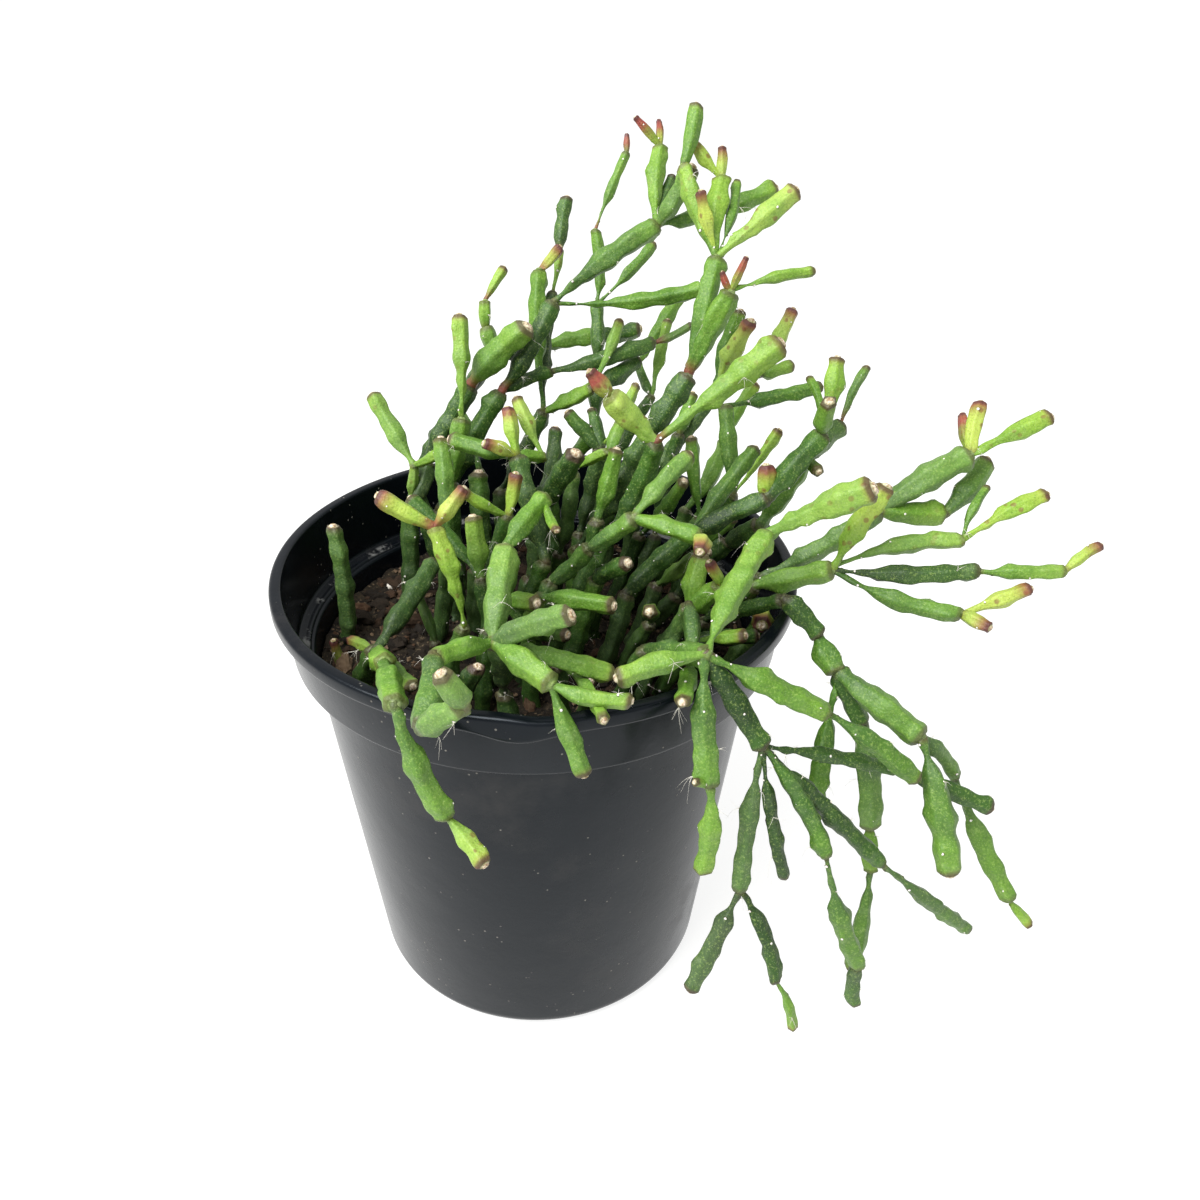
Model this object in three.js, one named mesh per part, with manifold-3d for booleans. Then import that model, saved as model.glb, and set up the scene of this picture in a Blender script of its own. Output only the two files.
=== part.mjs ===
// A potted rhipsalis: a thin-walled nursery pot, the potting soil in it and
// the branching stems of the plant, each a solid of its own.
// Units are millimetres, +Z is up, and the origin is the middle of the pot's foot.

import * as THREE from 'three';
import { mergeVertices } from 'three/addons/utils/BufferGeometryUtils.js';
import Module from 'manifold-3d';

const wasm = await Module();
wasm.setup();

// ---------------------------------------------------------------- driving dimensions

const GAP = 0.3; // room kept between pieces that touch

const POT = {
  height: 111.7,
  rimRadius: 59.5, // outside of the rolled lip
  lipWidth: 2.7, // flat top of the lip
  lipDrop: 3.6, // how far the lip hangs down outside
  collarTop: 57.4, // outside of the collar, under the lip
  collarFoot: 56.2,
  collarDrop: 16.5, // foot of the collar, below the rim
  stepRadius: 52.2, // body just under the collar
  footRadius: 43.2, // body at the foot, before its rounded corner
  cornerRadius: 4,
  wall: 0.9,
  floor: 1.4,
  sides: 36,
};

const DRAIN = { count: 8, radius: 4, ring: 31, sides: 8 };

const SOIL = {
  top: 90, // mean height of the surface
  lump: 1.1, // how far it rises and falls
  rings: 4,
  sides: 24,
};

const STEM = {
  sides: 5,
  overlap: 1, // a segment starts this far inside the one it grows from
  longestRun: 36, // a longer first run is two segments
  bow: 0.06, // how far the joint of such a run stands off its line, as a share of its length
  belly: 0.5, // where a segment is widest, as a share of its length
  tip: 0.85, // width of its tip, as a share of the belly
  rootNeck: 0.8, // width of the neck of a segment that starts in the soil
};

// Width of a segment's neck as a share of its belly: a stem's bases thicken as they age.
const NECKS = { old: 0.6, mid: 0.5, pale: 0.6, fresh: 0.42, young: 0.5, bud: 0.55 };

const NEARLY_UPRIGHT = 0.2; // sine of the angle to the vertical
const NEARLY_ZERO = 1e-6;

const CROWD = {
  clearance: 0.5, // room kept between segments of different stems
  reach: 12, // pairs whose middles are nearer than this past their ends are watched
  passes: 120,
  lipRadius: 57.9, // ring that runs round the middle of the lip
  lipHeight: 109.6,
  lipThick: 2.6,
};

const COLOURS = {
  pot: 0x383b40,
  soil: 0x3b2a20,
  stem: 0x4d7f36,
};

// ---------------------------------------------------------------- stems
// Each stem starts at its root in the soil. A row is one segment of it:
// [its far joint, the joint it grows from ("" is the root), x, y, z, width, age].

const STEMS = {
  left_short: [[-46, 0, 83],
    ['a', '', -46, 4, 118, 4, 'old'],
  ],
  left_rim: [[-41, -19, 83],
    ['a', '', -34, -27, 105, 4.2, 'old'],
    ['h', 'a', -29, -44, 114, 4.4, 'mid'],
    ['b', 'h', -25, -61, 117, 4.4, 'mid'],
    ['c', 'b', -17, -66, 95, 4.2, 'mid'],
    ['d', 'c', -10, -74, 91, 3.4, 'fresh'],
    ['e', 'a', -23, -4, 113, 4.5, 'old'],
    ['f', 'a', -24, -45, 109, 3, 'mid'],
    ['g', 'a', -41, -17, 101, 2.4, 'young'],
  ],
  rear_left: [[-33, 14, 83],
    ['a', '', -31, 20, 115, 4.1, 'old'],
    ['b', 'a', -26, 26, 124, 4.1, 'old'],
    ['c', 'b', -13, 31, 140, 4.8, 'old'],
    ['d', 'c', -1, 29, 156, 5.8, 'mid'],
    ['e', 'a', -29, 22, 125, 2.3, 'fresh'],
    ['f', 'e', -39, 34, 138, 4, 'mid'],
    ['g', 'e', -22, 20, 129, 2.5, 'fresh'],
  ],
  front_star: [[-4, -41, 83],
    ['a', '', -7, -41, 104, 4, 'old'],
    ['b', 'a', -8, -48, 121, 3.6, 'old'],
    ['c', 'b', 6, -53, 130, 4.3, 'pale'],
    ['d', 'b', 2, -57, 115, 4.7, 'mid'],
    ['e', 'd', 8, -65, 103, 3.1, 'mid'],
    ['f', 'd', 16, -62, 115, 3, 'mid'],
    ['g', 'b', 14, -49, 114, 3.7, 'mid'],
    ['h', 'b', -18, -57, 124, 3.6, 'mid'],
    ['i', 'h', -19, -71, 120, 4.6, 'old'],
    ['j', 'i', -12, -74, 127, 3.9, 'pale'],
    ['k', 'j', -15, -75, 134, 3.5, 'pale'],
    ['l', 'b', -6, -30, 131, 4.8, 'mid'],
    ['m', 'l', 2, -20, 137, 4.1, 'mid'],
    ['n', 'm', 4, -31, 135, 2, 'fresh'],
  ],
  front_low: [[6, -39, 83],
    ['a', '', 4, -39, 107, 3.4, 'old'],
    ['b', 'a', 12, -66, 115, 2.6, 'mid'],
  ],
  left_fork: [[-21, -26, 83],
    ['a', '', -15, -29, 112, 3.5, 'old'],
    ['b', 'a', -20, -23, 132, 3.7, 'fresh'],
    ['c', 'b', -31, -21, 138, 3.5, 'young'],
    ['d', 'b', -14, -20, 139, 3, 'young'],
  ],
  left_pair: [[-12, -22, 83],
    ['a', '', -10, -16, 116, 3.6, 'old'],
    ['b', 'a', -13, -12, 129, 3.8, 'mid'],
    ['c', 'a', -27, -4, 129, 3.2, 'old'],
  ],
  left_bud: [[-24, -13, 83],
    ['a', '', -23, -14, 98, 3, 'old'],
    ['b', 'a', -27, -8, 107, 2.5, 'mid'],
  ],
  left_tall: [[-20, 9, 83],
    ['a', '', -20, 16, 123, 4.5, 'old'],
    ['b', 'a', -17, 21, 137, 4.3, 'mid'],
    ['c', 'b', -17, 32, 158, 3.7, 'fresh'],
  ],
  left_mid: [[-26, -2, 83],
    ['a', '', -20, 1, 115, 3.9, 'old'],
    ['b', 'a', -21, 12, 136, 3.9, 'mid'],
  ],
  left_stub: [[-15, 2, 83],
    ['a', '', -13, 13, 127, 4.5, 'old'],
  ],
  rear_arch: [[-19, 22, 83],
    ['a', '', -24, 24, 112, 4.4, 'old'],
    ['b', 'a', -10, 31, 141, 4.8, 'old'],
    ['c', 'b', 5, 36, 160, 4.2, 'old'],
    ['d', 'c', 29, 39, 177, 4.6, 'mid'],
    ['e', 'c', 40, 30, 165, 3.6, 'mid'],
    ['f', 'd', 36, 37, 190, 4.1, 'mid'],
    ['g', 'd', 33, 48, 186, 2.4, 'old'],
    ['h', 'd', 30, 50, 192, 4, 'fresh'],
    ['i', 'h', 24, 51, 198, 1.8, 'bud'],
    ['j', 'h', 30, 55, 197, 1.6, 'bud'],
    ['k', 'd', 43, 42, 179, 2.8, 'mid'],
    ['l', 'k', 57, 45, 184, 4, 'mid'],
    ['m', 'b', 4, 36, 143, 3.2, 'old'],
    ['n', 'm', 30, 40, 149, 3.7, 'old'],
    ['o', 'n', 39, 42, 153, 2, 'mid'],
  ],
  back_left: [[-24, 34, 83],
    ['a', '', -31, 38, 112, 4.2, 'old'],
    ['p', 'a', -20, 46, 129, 4, 'old'],
    ['b', 'p', -10, 51, 143, 4.1, 'old'],
    ['c', 'b', -12, 53, 149, 3.8, 'mid'],
    ['d', 'c', -12, 55, 155, 3, 'mid'],
    ['e', 'd', -7, 60, 162, 2.4, 'fresh'],
    ['f', 'b', 4, 57, 143, 3.9, 'old'],
    ['g', 'f', 18, 59, 145, 4.2, 'mid'],
    ['h', 'g', 28, 58, 147, 4.2, 'old'],
  ],
  rear_centre: [[-6, 32, 83],
    ['a', '', -9, 35, 112, 4.2, 'old'],
    ['b', 'a', 3, 34, 134, 3.6, 'old'],
    ['c', 'b', 2, 50, 164, 4.2, 'mid'],
    ['d', 'c', 7, 52, 169, 2.7, 'young'],
    ['e', 'b', 5, 52, 158, 3.3, 'old'],
    ['f', 'e', 7, 59, 167, 2.1, 'fresh'],
    ['g', 'f', 9, 65, 178, 3.3, 'old'],
    ['h', 'b', 14, 33, 140, 3.3, 'mid'],
    ['i', 'h', 21, 41, 154, 2.8, 'fresh'],
    ['j', 'h', 26, 43, 144, 3.8, 'old'],
  ],
  rear_right: [[6, 36, 83],
    ['a', '', 4, 38, 112, 4.2, 'old'],
    ['b', 'a', 16, 36, 129, 3.6, 'old'],
    ['c', 'b', 16, 45, 144, 3.1, 'old'],
    ['d', 'c', 16, 52, 155, 3.3, 'old'],
    ['e', 'd', 16, 61, 171, 3.1, 'mid'],
    ['f', 'e', 24, 69, 188, 2.3, 'mid'],
    ['g', 'f', 24, 71, 192, 1.4, 'bud'],
    ['h', 'd', 31, 61, 168, 2.6, 'mid'],
  ],
  rear_mid: [[17, 32, 83],
    ['a', '', 18, 34, 112, 4, 'old'],
    ['b', 'a', 30, 41, 135, 2.8, 'old'],
    ['c', 'b', 34, 49, 152, 2.6, 'mid'],
    ['d', 'b', 27, 49, 141, 2.2, 'old'],
    ['e', 'd', 38, 59, 155, 3.6, 'mid'],
  ],
  rear_spray: [[22, 22, 83],
    ['a', '', 24, 23, 112, 4, 'old'],
    ['b', 'a', 44, 27, 141, 3.2, 'old'],
    ['c', 'b', 49, 33, 159, 3.3, 'mid'],
    ['d', 'b', 50, 25, 159, 3.9, 'young'],
    ['e', 'b', 54, 27, 146, 2.5, 'old'],
    ['f', 'e', 61, 31, 160, 3, 'young'],
    ['g', 'e', 62, 29, 147, 3.1, 'mid'],
  ],
  back_fork: [[7, 22, 83],
    ['a', '', 16, 26, 127, 3.9, 'old'],
    ['b', 'a', 8, 30, 135, 3.3, 'old'],
    ['c', 'a', 14, 32, 135, 3, 'old'],
    ['d', 'a', 25, 33, 141, 2.6, 'fresh'],
  ],
  back_right: [[25, 13, 83],
    ['a', '', 35, 24, 132, 3.2, 'old'],
    ['b', 'a', 38, 27, 141, 3, 'mid'],
  ],
  mid_sprig: [[3, 14, 83],
    ['a', '', 9, 13, 127, 3.5, 'old'],
    ['b', 'a', 17, 11, 133, 2.4, 'fresh'],
    ['c', 'b', 20, 16, 138, 3.2, 'mid'],
  ],
  centre_bud: [[-3, 8, 83],
    ['a', '', 1, 9, 120, 4.6, 'old'],
    ['b', 'a', 9, 1, 137, 4.6, 'old'],
    ['c', 'a', 5, 20, 135, 3.5, 'old'],
  ],
  tall_centre: [[9, 6, 83],
    ['a', '', 10, 7, 110, 4.8, 'old'],
    ['b', 'a', 26, 8, 139, 4.5, 'old'],
    ['c', 'b', 34, 11, 151, 4.9, 'old'],
    ['d', 'c', 40, 21, 174, 4.4, 'mid'],
    ['e', 'd', 33, 31, 191, 3.5, 'mid'],
    ['f', 'e', 36, 38, 202, 3.5, 'mid'],
    ['g', 'd', 36, 24, 187, 2.7, 'young'],
    ['h', 'd', 42, 33, 188, 4.4, 'fresh'],
    ['i', 'h', 35, 37, 195, 2.4, 'young'],
    ['j', 'h', 42, 36, 194, 2.2, 'young'],
    ['k', 'd', 57, 26, 187, 4.3, 'fresh'],
    ['l', 'd', 46, 36, 187, 2.3, 'mid'],
    ['m', 'c', 42, 12, 169, 4.5, 'mid'],
    ['n', 'm', 40, 13, 173, 1.4, 'bud'],
    ['o', 'm', 45, 13, 176, 1.7, 'bud'],
    ['p', 'm', 60, 14, 173, 2.4, 'mid'],
  ],
  centre_fork: [[1, -9, 83],
    ['a', '', 16, -5, 121, 4, 'old'],
    ['b', 'a', 25, -9, 144, 4.4, 'old'],
    ['c', 'b', 50, -4, 163, 5.7, 'fresh'],
    ['d', 'b', 15, -9, 154, 4.8, 'fresh'],
    ['e', 'd', 11, -9, 159, 3.2, 'bud'],
  ],
  left_crown: [[-8, -8, 83],
    ['a', '', 2, -8, 115, 4, 'old'],
    ['b', 'a', -4, 4, 135, 4.4, 'old'],
    ['c', 'b', -6, 10, 144, 3.1, 'young'],
    ['d', 'b', -11, 2, 139, 3, 'young'],
    ['e', 'b', -19, 9, 137, 3.7, 'mid'],
    ['f', 'b', 2, 8, 133, 2.8, 'mid'],
    ['g', 'f', -4, 16, 144, 3.2, 'fresh'],
  ],
  left_sprig: [[-14, -13, 83],
    ['a', '', -6, -9, 127, 3.4, 'old'],
    ['b', 'a', -4, -7, 136, 3, 'young'],
    ['c', 'a', -15, -11, 133, 2.8, 'fresh'],
  ],
  centre_sprig: [[13, 0, 83],
    ['a', '', 14, -2, 122, 4, 'old'],
    ['b', 'a', 18, 3, 137, 3.7, 'mid'],
  ],
  centre_arm: [[-6, -20, 83],
    ['a', '', 2, -15, 114, 3.7, 'old'],
    ['b', 'a', 11, -18, 124, 3.4, 'old'],
    ['c', 'b', 20, -20, 132, 3.9, 'mid'],
    ['d', 'c', 33, -25, 130, 3.5, 'mid'],
    ['e', 'd', 32, -31, 130, 3.3, 'young'],
    ['f', 'c', 32, -11, 142, 3.6, 'mid'],
  ],
  centre_curl: [[-1, -28, 83],
    ['a', '', -2, -26, 109, 3.4, 'old'],
    ['b', 'a', 1, -27, 118, 3.3, 'mid'],
    ['c', 'b', 15, -36, 121, 3.6, 'mid'],
    ['d', 'a', -6, -25, 116, 3, 'old'],
    ['e', 'd', 0, -33, 120, 3.4, 'mid'],
  ],
  centre_stub: [[4, -19, 83],
    ['a', '', 13, -14, 114, 3.9, 'old'],
    ['b', 'a', 19, -21, 122, 3.7, 'old'],
  ],
  right_rise: [[12, -13, 83],
    ['a', '', 20, -12, 109, 4, 'old'],
    ['b', 'a', 34, -9, 122, 4.4, 'old'],
    ['c', 'b', 50, -10, 131, 4.3, 'old'],
    ['d', 'c', 62, -5, 143, 4.7, 'old'],
    ['e', 'd', 64, 2, 158, 3.5, 'fresh'],
    ['f', 'd', 60, -10, 153, 3.7, 'mid'],
    ['g', 'd', 60, 7, 152, 1.9, 'mid'],
    ['h', 'c', 49, -8, 138, 3.4, 'young'],
    ['i', 'b', 49, 3, 137, 3.8, 'old'],
  ],
  right_knot: [[20, -20, 83],
    ['a', '', 33, -23, 111, 3.8, 'old'],
    ['b', 'a', 38, -26, 119, 4.1, 'mid'],
    ['c', 'b', 35, -26, 125, 2.4, 'young'],
    ['d', 'b', 39, -31, 122, 2.4, 'fresh'],
    ['e', 'a', 35, -18, 122, 4.2, 'mid'],
  ],
  right_drop: [[16, -27, 83],
    ['a', '', 31, -29, 116, 3.5, 'old'],
    ['b', 'a', 30, -41, 112, 3.3, 'old'],
    ['c', 'b', 26, -61, 115, 3, 'mid'],
  ],
  right_star: [[14, -37, 83],
    ['a', '', 23, -39, 109, 4, 'old'],
    ['b', 'a', 32, -54, 117, 4.1, 'old'],
    ['c', 'b', 14, -57, 119, 3.8, 'mid'],
    ['d', 'b', 46, -26, 131, 5, 'mid'],
    ['e', 'd', 64, -32, 144, 5.7, 'fresh'],
    ['f', 'b', 54, -56, 109, 4.2, 'mid'],
    ['g', 'f', 73, -59, 95, 3.9, 'mid'],
    ['h', 'b', 31, -64, 99, 4.2, 'mid'],
    ['i', 'h', 31, -67, 80, 4, 'mid'],
    ['j', 'h', 28, -66, 102, 1.7, 'mid'],
    ['k', 'b', 42, -58, 103, 3.8, 'old'],
    ['l', 'k', 39, -66, 73, 3.4, 'old'],
    ['m', 'l', 30, -72, 51, 3.3, 'old'],
    ['n', 'l', 47, -73, 54, 3, 'old'],
    ['o', 'n', 52, -74, 40, 2.4, 'fresh'],
    ['p', 'k', 49, -62, 72, 2.7, 'old'],
    ['q', 'k', 56, -64, 80, 3.6, 'old'],
    ['r', 'q', 66, -68, 51, 3.6, 'mid'],
    ['s', 'r', 67, -68, 39, 3, 'old'],
    ['t', 'k', 69, -61, 74, 3.5, 'old'],
    ['u', 't', 91, -62, 54, 3, 'old'],
    ['v', 'k', 73, -54, 93, 2.8, 'old'],
    ['w', 'v', 91, -57, 85, 3.3, 'old'],
  ],
  right_rim: [[36, -13, 83],
    ['a', '', 43, -20, 102, 3.8, 'old'],
    ['n', 'a', 53, -29, 116, 3.4, 'old'],
    ['b', 'n', 58, -33, 111, 3.9, 'old'],
    ['c', 'b', 61, -39, 106, 4.9, 'mid'],
    ['d', 'c', 73, -51, 98, 5.2, 'mid'],
    ['e', 'd', 80, -66, 76, 4.8, 'mid'],
    ['f', 'd', 85, -52, 88, 2.8, 'old'],
    ['g', 'f', 98, -62, 63, 3.8, 'mid'],
    ['h', 'g', 103, -64, 57, 2, 'fresh'],
    ['i', 'c', 67, -42, 95, 3.8, 'old'],
    ['j', 'i', 70, -50, 73, 4.6, 'old'],
    ['k', 'j', 71, -53, 63, 3.2, 'mid'],
    ['l', 'k', 68, -61, 41, 3.5, 'mid'],
    ['m', 'c', 58, -49, 75, 4, 'mid'],
  ],
  right_low: [[25, -23, 83],
    ['a', '', 35, -28, 107, 3.4, 'old'],
    ['b', 'a', 53, -31, 110, 3.6, 'old'],
    ['c', 'a', 44, -35, 111, 2.9, 'fresh'],
  ],
  right_fan: [[30, -9, 83],
    ['a', '', 47, -18, 114, 3.9, 'old'],
    ['b', 'a', 62, -23, 121, 4.6, 'mid'],
    ['c', 'b', 71, -21, 139, 4.5, 'fresh'],
    ['d', 'b', 89, -22, 127, 3.4, 'mid'],
    ['e', 'd', 105, -21, 137, 3.2, 'fresh'],
    ['f', 'd', 96, -13, 135, 2, 'mid'],
    ['g', 'b', 91, -28, 123, 3.5, 'old'],
    ['h', 'g', 107, -32, 125, 2.9, 'mid'],
    ['i', 'h', 114, -30, 130, 2.3, 'young'],
    ['j', 'b', 86, -35, 117, 3.6, 'mid'],
    ['k', 'j', 99, -35, 123, 3, 'young'],
    ['l', 'j', 90, -40, 117, 2.7, 'young'],
  ],
  right_arm: [[32, -1, 83],
    ['a', '', 50, -11, 112, 4, 'old'],
    ['b', 'a', 74, -12, 129, 4.4, 'old'],
    ['c', 'b', 92, -10, 141, 5.3, 'mid'],
    ['d', 'c', 108, -9, 149, 3.7, 'fresh'],
    ['e', 'c', 95, -3, 150, 3, 'young'],
    ['f', 'c', 92, -2, 147, 2.2, 'bud'],
    ['g', 'b', 86, -5, 136, 2.1, 'old'],
    ['h', 'b', 89, -10, 127, 4.8, 'mid'],
    ['i', 'h', 99, -4, 137, 4.8, 'mid'],
  ],
  right_facing: [[37, -16, 83],
    ['a', '', 50, -13, 106, 3.5, 'old'],
    ['b', 'a', 51, -25, 110, 4.1, 'young'],
  ],
  upper_right: [[25, 4, 83],
    ['a', '', 45, 2, 114, 4, 'old'],
    ['b', 'a', 50, -5, 122, 4, 'old'],
    ['c', 'b', 59, -1, 137, 5.5, 'mid'],
    ['d', 'c', 60, -8, 137, 2.8, 'mid'],
    ['e', 'c', 68, 4, 142, 4.4, 'old'],
    ['f', 'e', 74, 11, 153, 2.1, 'mid'],
  ],
  upper_mid: [[16, 10, 83],
    ['a', '', 39, 9, 116, 3.8, 'old'],
    ['b', 'a', 46, 7, 124, 3.6, 'old'],
    ['c', 'b', 44, 16, 142, 3.6, 'mid'],
    ['d', 'b', 56, 11, 138, 2.8, 'fresh'],
    ['e', 'c', 67, 20, 145, 3, 'old'],
    ['f', 'a', 36, 14, 135, 3, 'mid'],
  ],
  inner_front: [[-18, -33, 83],
    ['a', '', -12, -36, 107, 3.6, 'old'],
  ],
  inner_star: [[-12, -29, 83],
    ['a', '', -12, -21, 107, 3.6, 'old'],
    ['b', 'a', -7, -13, 121, 3.4, 'mid'],
  ],
  inner_low: [[-17, -19, 83],
    ['a', '', -8, -16, 102, 3.5, 'old'],
    ['b', 'a', 7, -25, 107, 3.4, 'old'],
  ],
  inner_right: [[20, -4, 83],
    ['a', '', 28, -2, 105, 3.8, 'old'],
    ['b', 'a', 38, -9, 118, 3.6, 'mid'],
  ],
  inner_back: [[17, 17, 83],
    ['a', '', 26, 17, 108, 3.8, 'old'],
    ['b', 'a', 35, 10, 126, 3.4, 'mid'],
  ],
  inner_rim: [[33, 9, 83],
    ['a', '', 37, 13, 105, 3.6, 'old'],
    ['b', 'a', 47, 9, 117, 3.6, 'mid'],
  ],
  inner_deep: [[19, -10, 83],
    ['a', '', 25, -17, 104, 3.4, 'old'],
    ['b', 'a', 23, -29, 115, 3.2, 'mid'],
  ],
  inner_spray: [[30, 20, 83],
    ['a', '', 38, 21, 107, 3.6, 'old'],
    ['b', 'a', 48, 15, 120, 3.4, 'mid'],
  ],
  soil_bud_left: [[-44, -9, 83],
    ['a', '', -46, -11, 97, 2.2, 'young'],
  ],
  soil_bud_front: [[9, -31, 83],
    ['a', '', 11, -31, 99, 3, 'old'],
  ],
  soil_bud_right: [[18, -33, 83],
    ['a', '', 20, -26, 99, 2, 'mid'],
  ],
  back_low_left: [[-13, 43, 83],
    ['a', '', -15, 47, 112, 3.8, 'old'],
    ['b', 'a', -21, 55, 127, 3.6, 'mid'],
  ],
  back_low_right: [[18, 42, 83],
    ['a', '', 21, 46, 110, 3.8, 'old'],
    ['b', 'a', 27, 53, 126, 3.6, 'mid'],
  ],
  back_side: [[34, 28, 83],
    ['a', '', 39, 31, 108, 3.8, 'old'],
    ['b', 'a', 49, 37, 124, 3.8, 'mid'],
    ['c', 'b', 57, 44, 137, 3.4, 'fresh'],
  ],
};

// ---------------------------------------------------------------- the plant's skeleton

// The segments of every stem. A joint is {at, root}, a segment {stem, from, to, radius, age}.
function growStems() {
  const segments = [];
  Object.entries(STEMS).forEach(([name, [rootAt, ...rows]]) => {
    const root = { at: new THREE.Vector3(...rootAt), root: true };
    const byName = { '': root };
    for (const [key, from, x, y, z, width, age] of rows) {
      const joint = { at: new THREE.Vector3(x, y, z), root: false };
      let start = byName[from];
      const run = joint.at.clone().sub(start.at);
      if (start.root && run.length() > STEM.longestRun) {
        const knee = { at: kneeOf(start.at, run), root: false };
        segments.push({ stem: name, from: start, to: knee, radius: width / 2, age });
        start = knee;
      }
      byName[key] = joint;
      segments.push({ stem: name, from: start, to: joint, radius: width / 2, age });
    }
  });
  return segments;
}

// The middle of a long first run, which stands a little off its line, on the steeper side.
function kneeOf(start, run) {
  const side = new THREE.Vector3(-run.x, -run.y, 0).multiplyScalar(STEM.bow);
  return start.clone().addScaledVector(run, 0.5).add(side);
}

// Where the segments a and b come nearest: {s, t, gap}, with gap the vector from a to b.
function nearest(a, b) {
  const u = a.to.at.clone().sub(a.from.at);
  const v = b.to.at.clone().sub(b.from.at);
  const w = a.from.at.clone().sub(b.from.at);
  const uu = u.dot(u);
  const uv = u.dot(v);
  const vv = v.dot(v);
  const uw = u.dot(w);
  const vw = v.dot(w);
  const across = uu * vv - uv * uv;
  let s = across > NEARLY_ZERO ? THREE.MathUtils.clamp((uv * vw - vv * uw) / across, 0, 1) : 0.5;
  const t = THREE.MathUtils.clamp((uv * s + vw) / vv, 0, 1);
  s = THREE.MathUtils.clamp((uv * t - uw) / uu, 0, 1);
  const gap = b.from.at.clone().addScaledVector(v, t).sub(a.from.at).addScaledVector(u, -s);
  return { s, t, gap };
}

// Moves the point at share s of a segment by the vector, through its two end joints.
function push(segment, s, vector) {
  const total = (1 - s) * (1 - s) + s * s;
  if (!segment.from.root) segment.from.at.addScaledVector(vector, (1 - s) / total);
  segment.to.at.addScaledVector(vector, s / total);
}

// Moves crowded segments apart until each pair of different stems keeps its clearance.
function settle(segments) {
  const pairs = [];
  for (let i = 0; i < segments.length; i += 1) {
    for (let j = i + 1; j < segments.length; j += 1) {
      const [a, b] = [segments[i], segments[j]];
      if (a.stem !== b.stem && nearest(a, b).gap.length() < CROWD.reach) pairs.push([a, b]);
    }
  }
  for (let pass = 0; pass < CROWD.passes; pass += 1) {
    for (const [a, b] of pairs) {
      const { s, t, gap } = nearest(a, b);
      const distance = gap.length();
      const short = a.radius + b.radius + CROWD.clearance - distance;
      if (short <= 0) continue;
      gap.multiplyScalar(short / 2 / Math.max(distance, NEARLY_ZERO));
      push(b, t, gap);
      push(a, s, gap.negate());
    }
    segments.forEach(clearLip);
  }
}

// Keeps a segment off the rolled lip of the pot.
function clearLip(segment) {
  const steps = 8;
  for (let i = 0; i <= steps; i += 1) {
    const s = i / steps;
    const point = segment.from.at.clone().lerp(segment.to.at, s);
    const outward = new THREE.Vector3(point.x, point.y, 0).normalize();
    const lip = outward.multiplyScalar(CROWD.lipRadius).setZ(CROWD.lipHeight);
    const away = point.sub(lip);
    const distance = away.length();
    const short = CROWD.lipThick + segment.radius + GAP - distance;
    if (short > 0) push(segment, s, away.multiplyScalar(short / distance));
  }
}

// ---------------------------------------------------------------- solids

// A closed mesh of rings of points, each ring with the same number of points.
function loftRings(rings) {
  const sides = rings[0].length;
  const positions = [];
  const indices = [];
  rings.flat().forEach((p) => positions.push(p.x, p.y, p.z));
  for (let r = 0; r + 1 < rings.length; r += 1) {
    for (let i = 0; i < sides; i += 1) {
      const [a, b] = [r * sides + i, r * sides + (i + 1) % sides];
      indices.push(a, b, b + sides, a, b + sides, a + sides);
    }
  }
  const last = (rings.length - 1) * sides;
  for (let i = 1; i + 1 < sides; i += 1) {
    indices.push(0, i + 1, i);
    indices.push(last, last + i, last + i + 1);
  }
  const geometry = new THREE.BufferGeometry();
  geometry.setAttribute('position', new THREE.Float32BufferAttribute(positions, 3));
  geometry.setIndex(indices);
  return geometry;
}

// One segment of a stem: a narrow neck, a swollen belly and a blunt tip.
function segmentGeometry(segment, grow = 0) {
  const along = segment.to.at.clone().sub(segment.from.at).normalize();
  const side = new THREE.Vector3(0, 0, 1).cross(along);
  if (side.length() < NEARLY_UPRIGHT) side.set(1, 0, 0);
  side.normalize();
  const up = along.clone().cross(side);
  const overlap = segment.from.root ? grow : STEM.overlap;
  const start = segment.from.at.clone().addScaledVector(along, -overlap);
  const neck = segment.from.root ? STEM.rootNeck : NECKS[segment.age];
  const rings = [[0, neck], [STEM.belly, 1], [1, STEM.tip]].map(([share, width]) => {
    const middle = start.clone().lerp(segment.to.at, share);
    const radius = segment.radius * width + grow;
    return Array.from({ length: STEM.sides }, (_, i) => {
      const turn = (2 * Math.PI * i) / STEM.sides;
      return middle.clone()
        .addScaledVector(side, radius * Math.cos(turn))
        .addScaledVector(up, radius * Math.sin(turn));
    });
  });
  return loftRings(rings);
}

function toSolid(geometry) {
  geometry.deleteAttribute('normal');
  geometry.deleteAttribute('uv');
  const merged = mergeVertices(geometry);
  return new wasm.Manifold(new wasm.Mesh({
    numProp: 3,
    vertProperties: merged.attributes.position.array,
    triVerts: new Uint32Array(merged.index.array),
  }));
}

function toGeometry(solid) {
  const mesh = solid.getMesh();
  const geometry = new THREE.BufferGeometry();
  geometry.setAttribute('position', new THREE.BufferAttribute(mesh.vertProperties, 3));
  geometry.setIndex(new THREE.BufferAttribute(mesh.triVerts, 1));
  geometry.computeVertexNormals();
  return geometry;
}

function joined(geometries) {
  return geometries.map(toSolid).reduce((whole, piece) => whole.add(piece));
}

// ---------------------------------------------------------------- pot

// Outside radius of the body at a height.
function bodyRadius(z) {
  const stepZ = POT.height - POT.collarDrop;
  return POT.footRadius + ((POT.stepRadius - POT.footRadius) * z) / stepZ;
}

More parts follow.
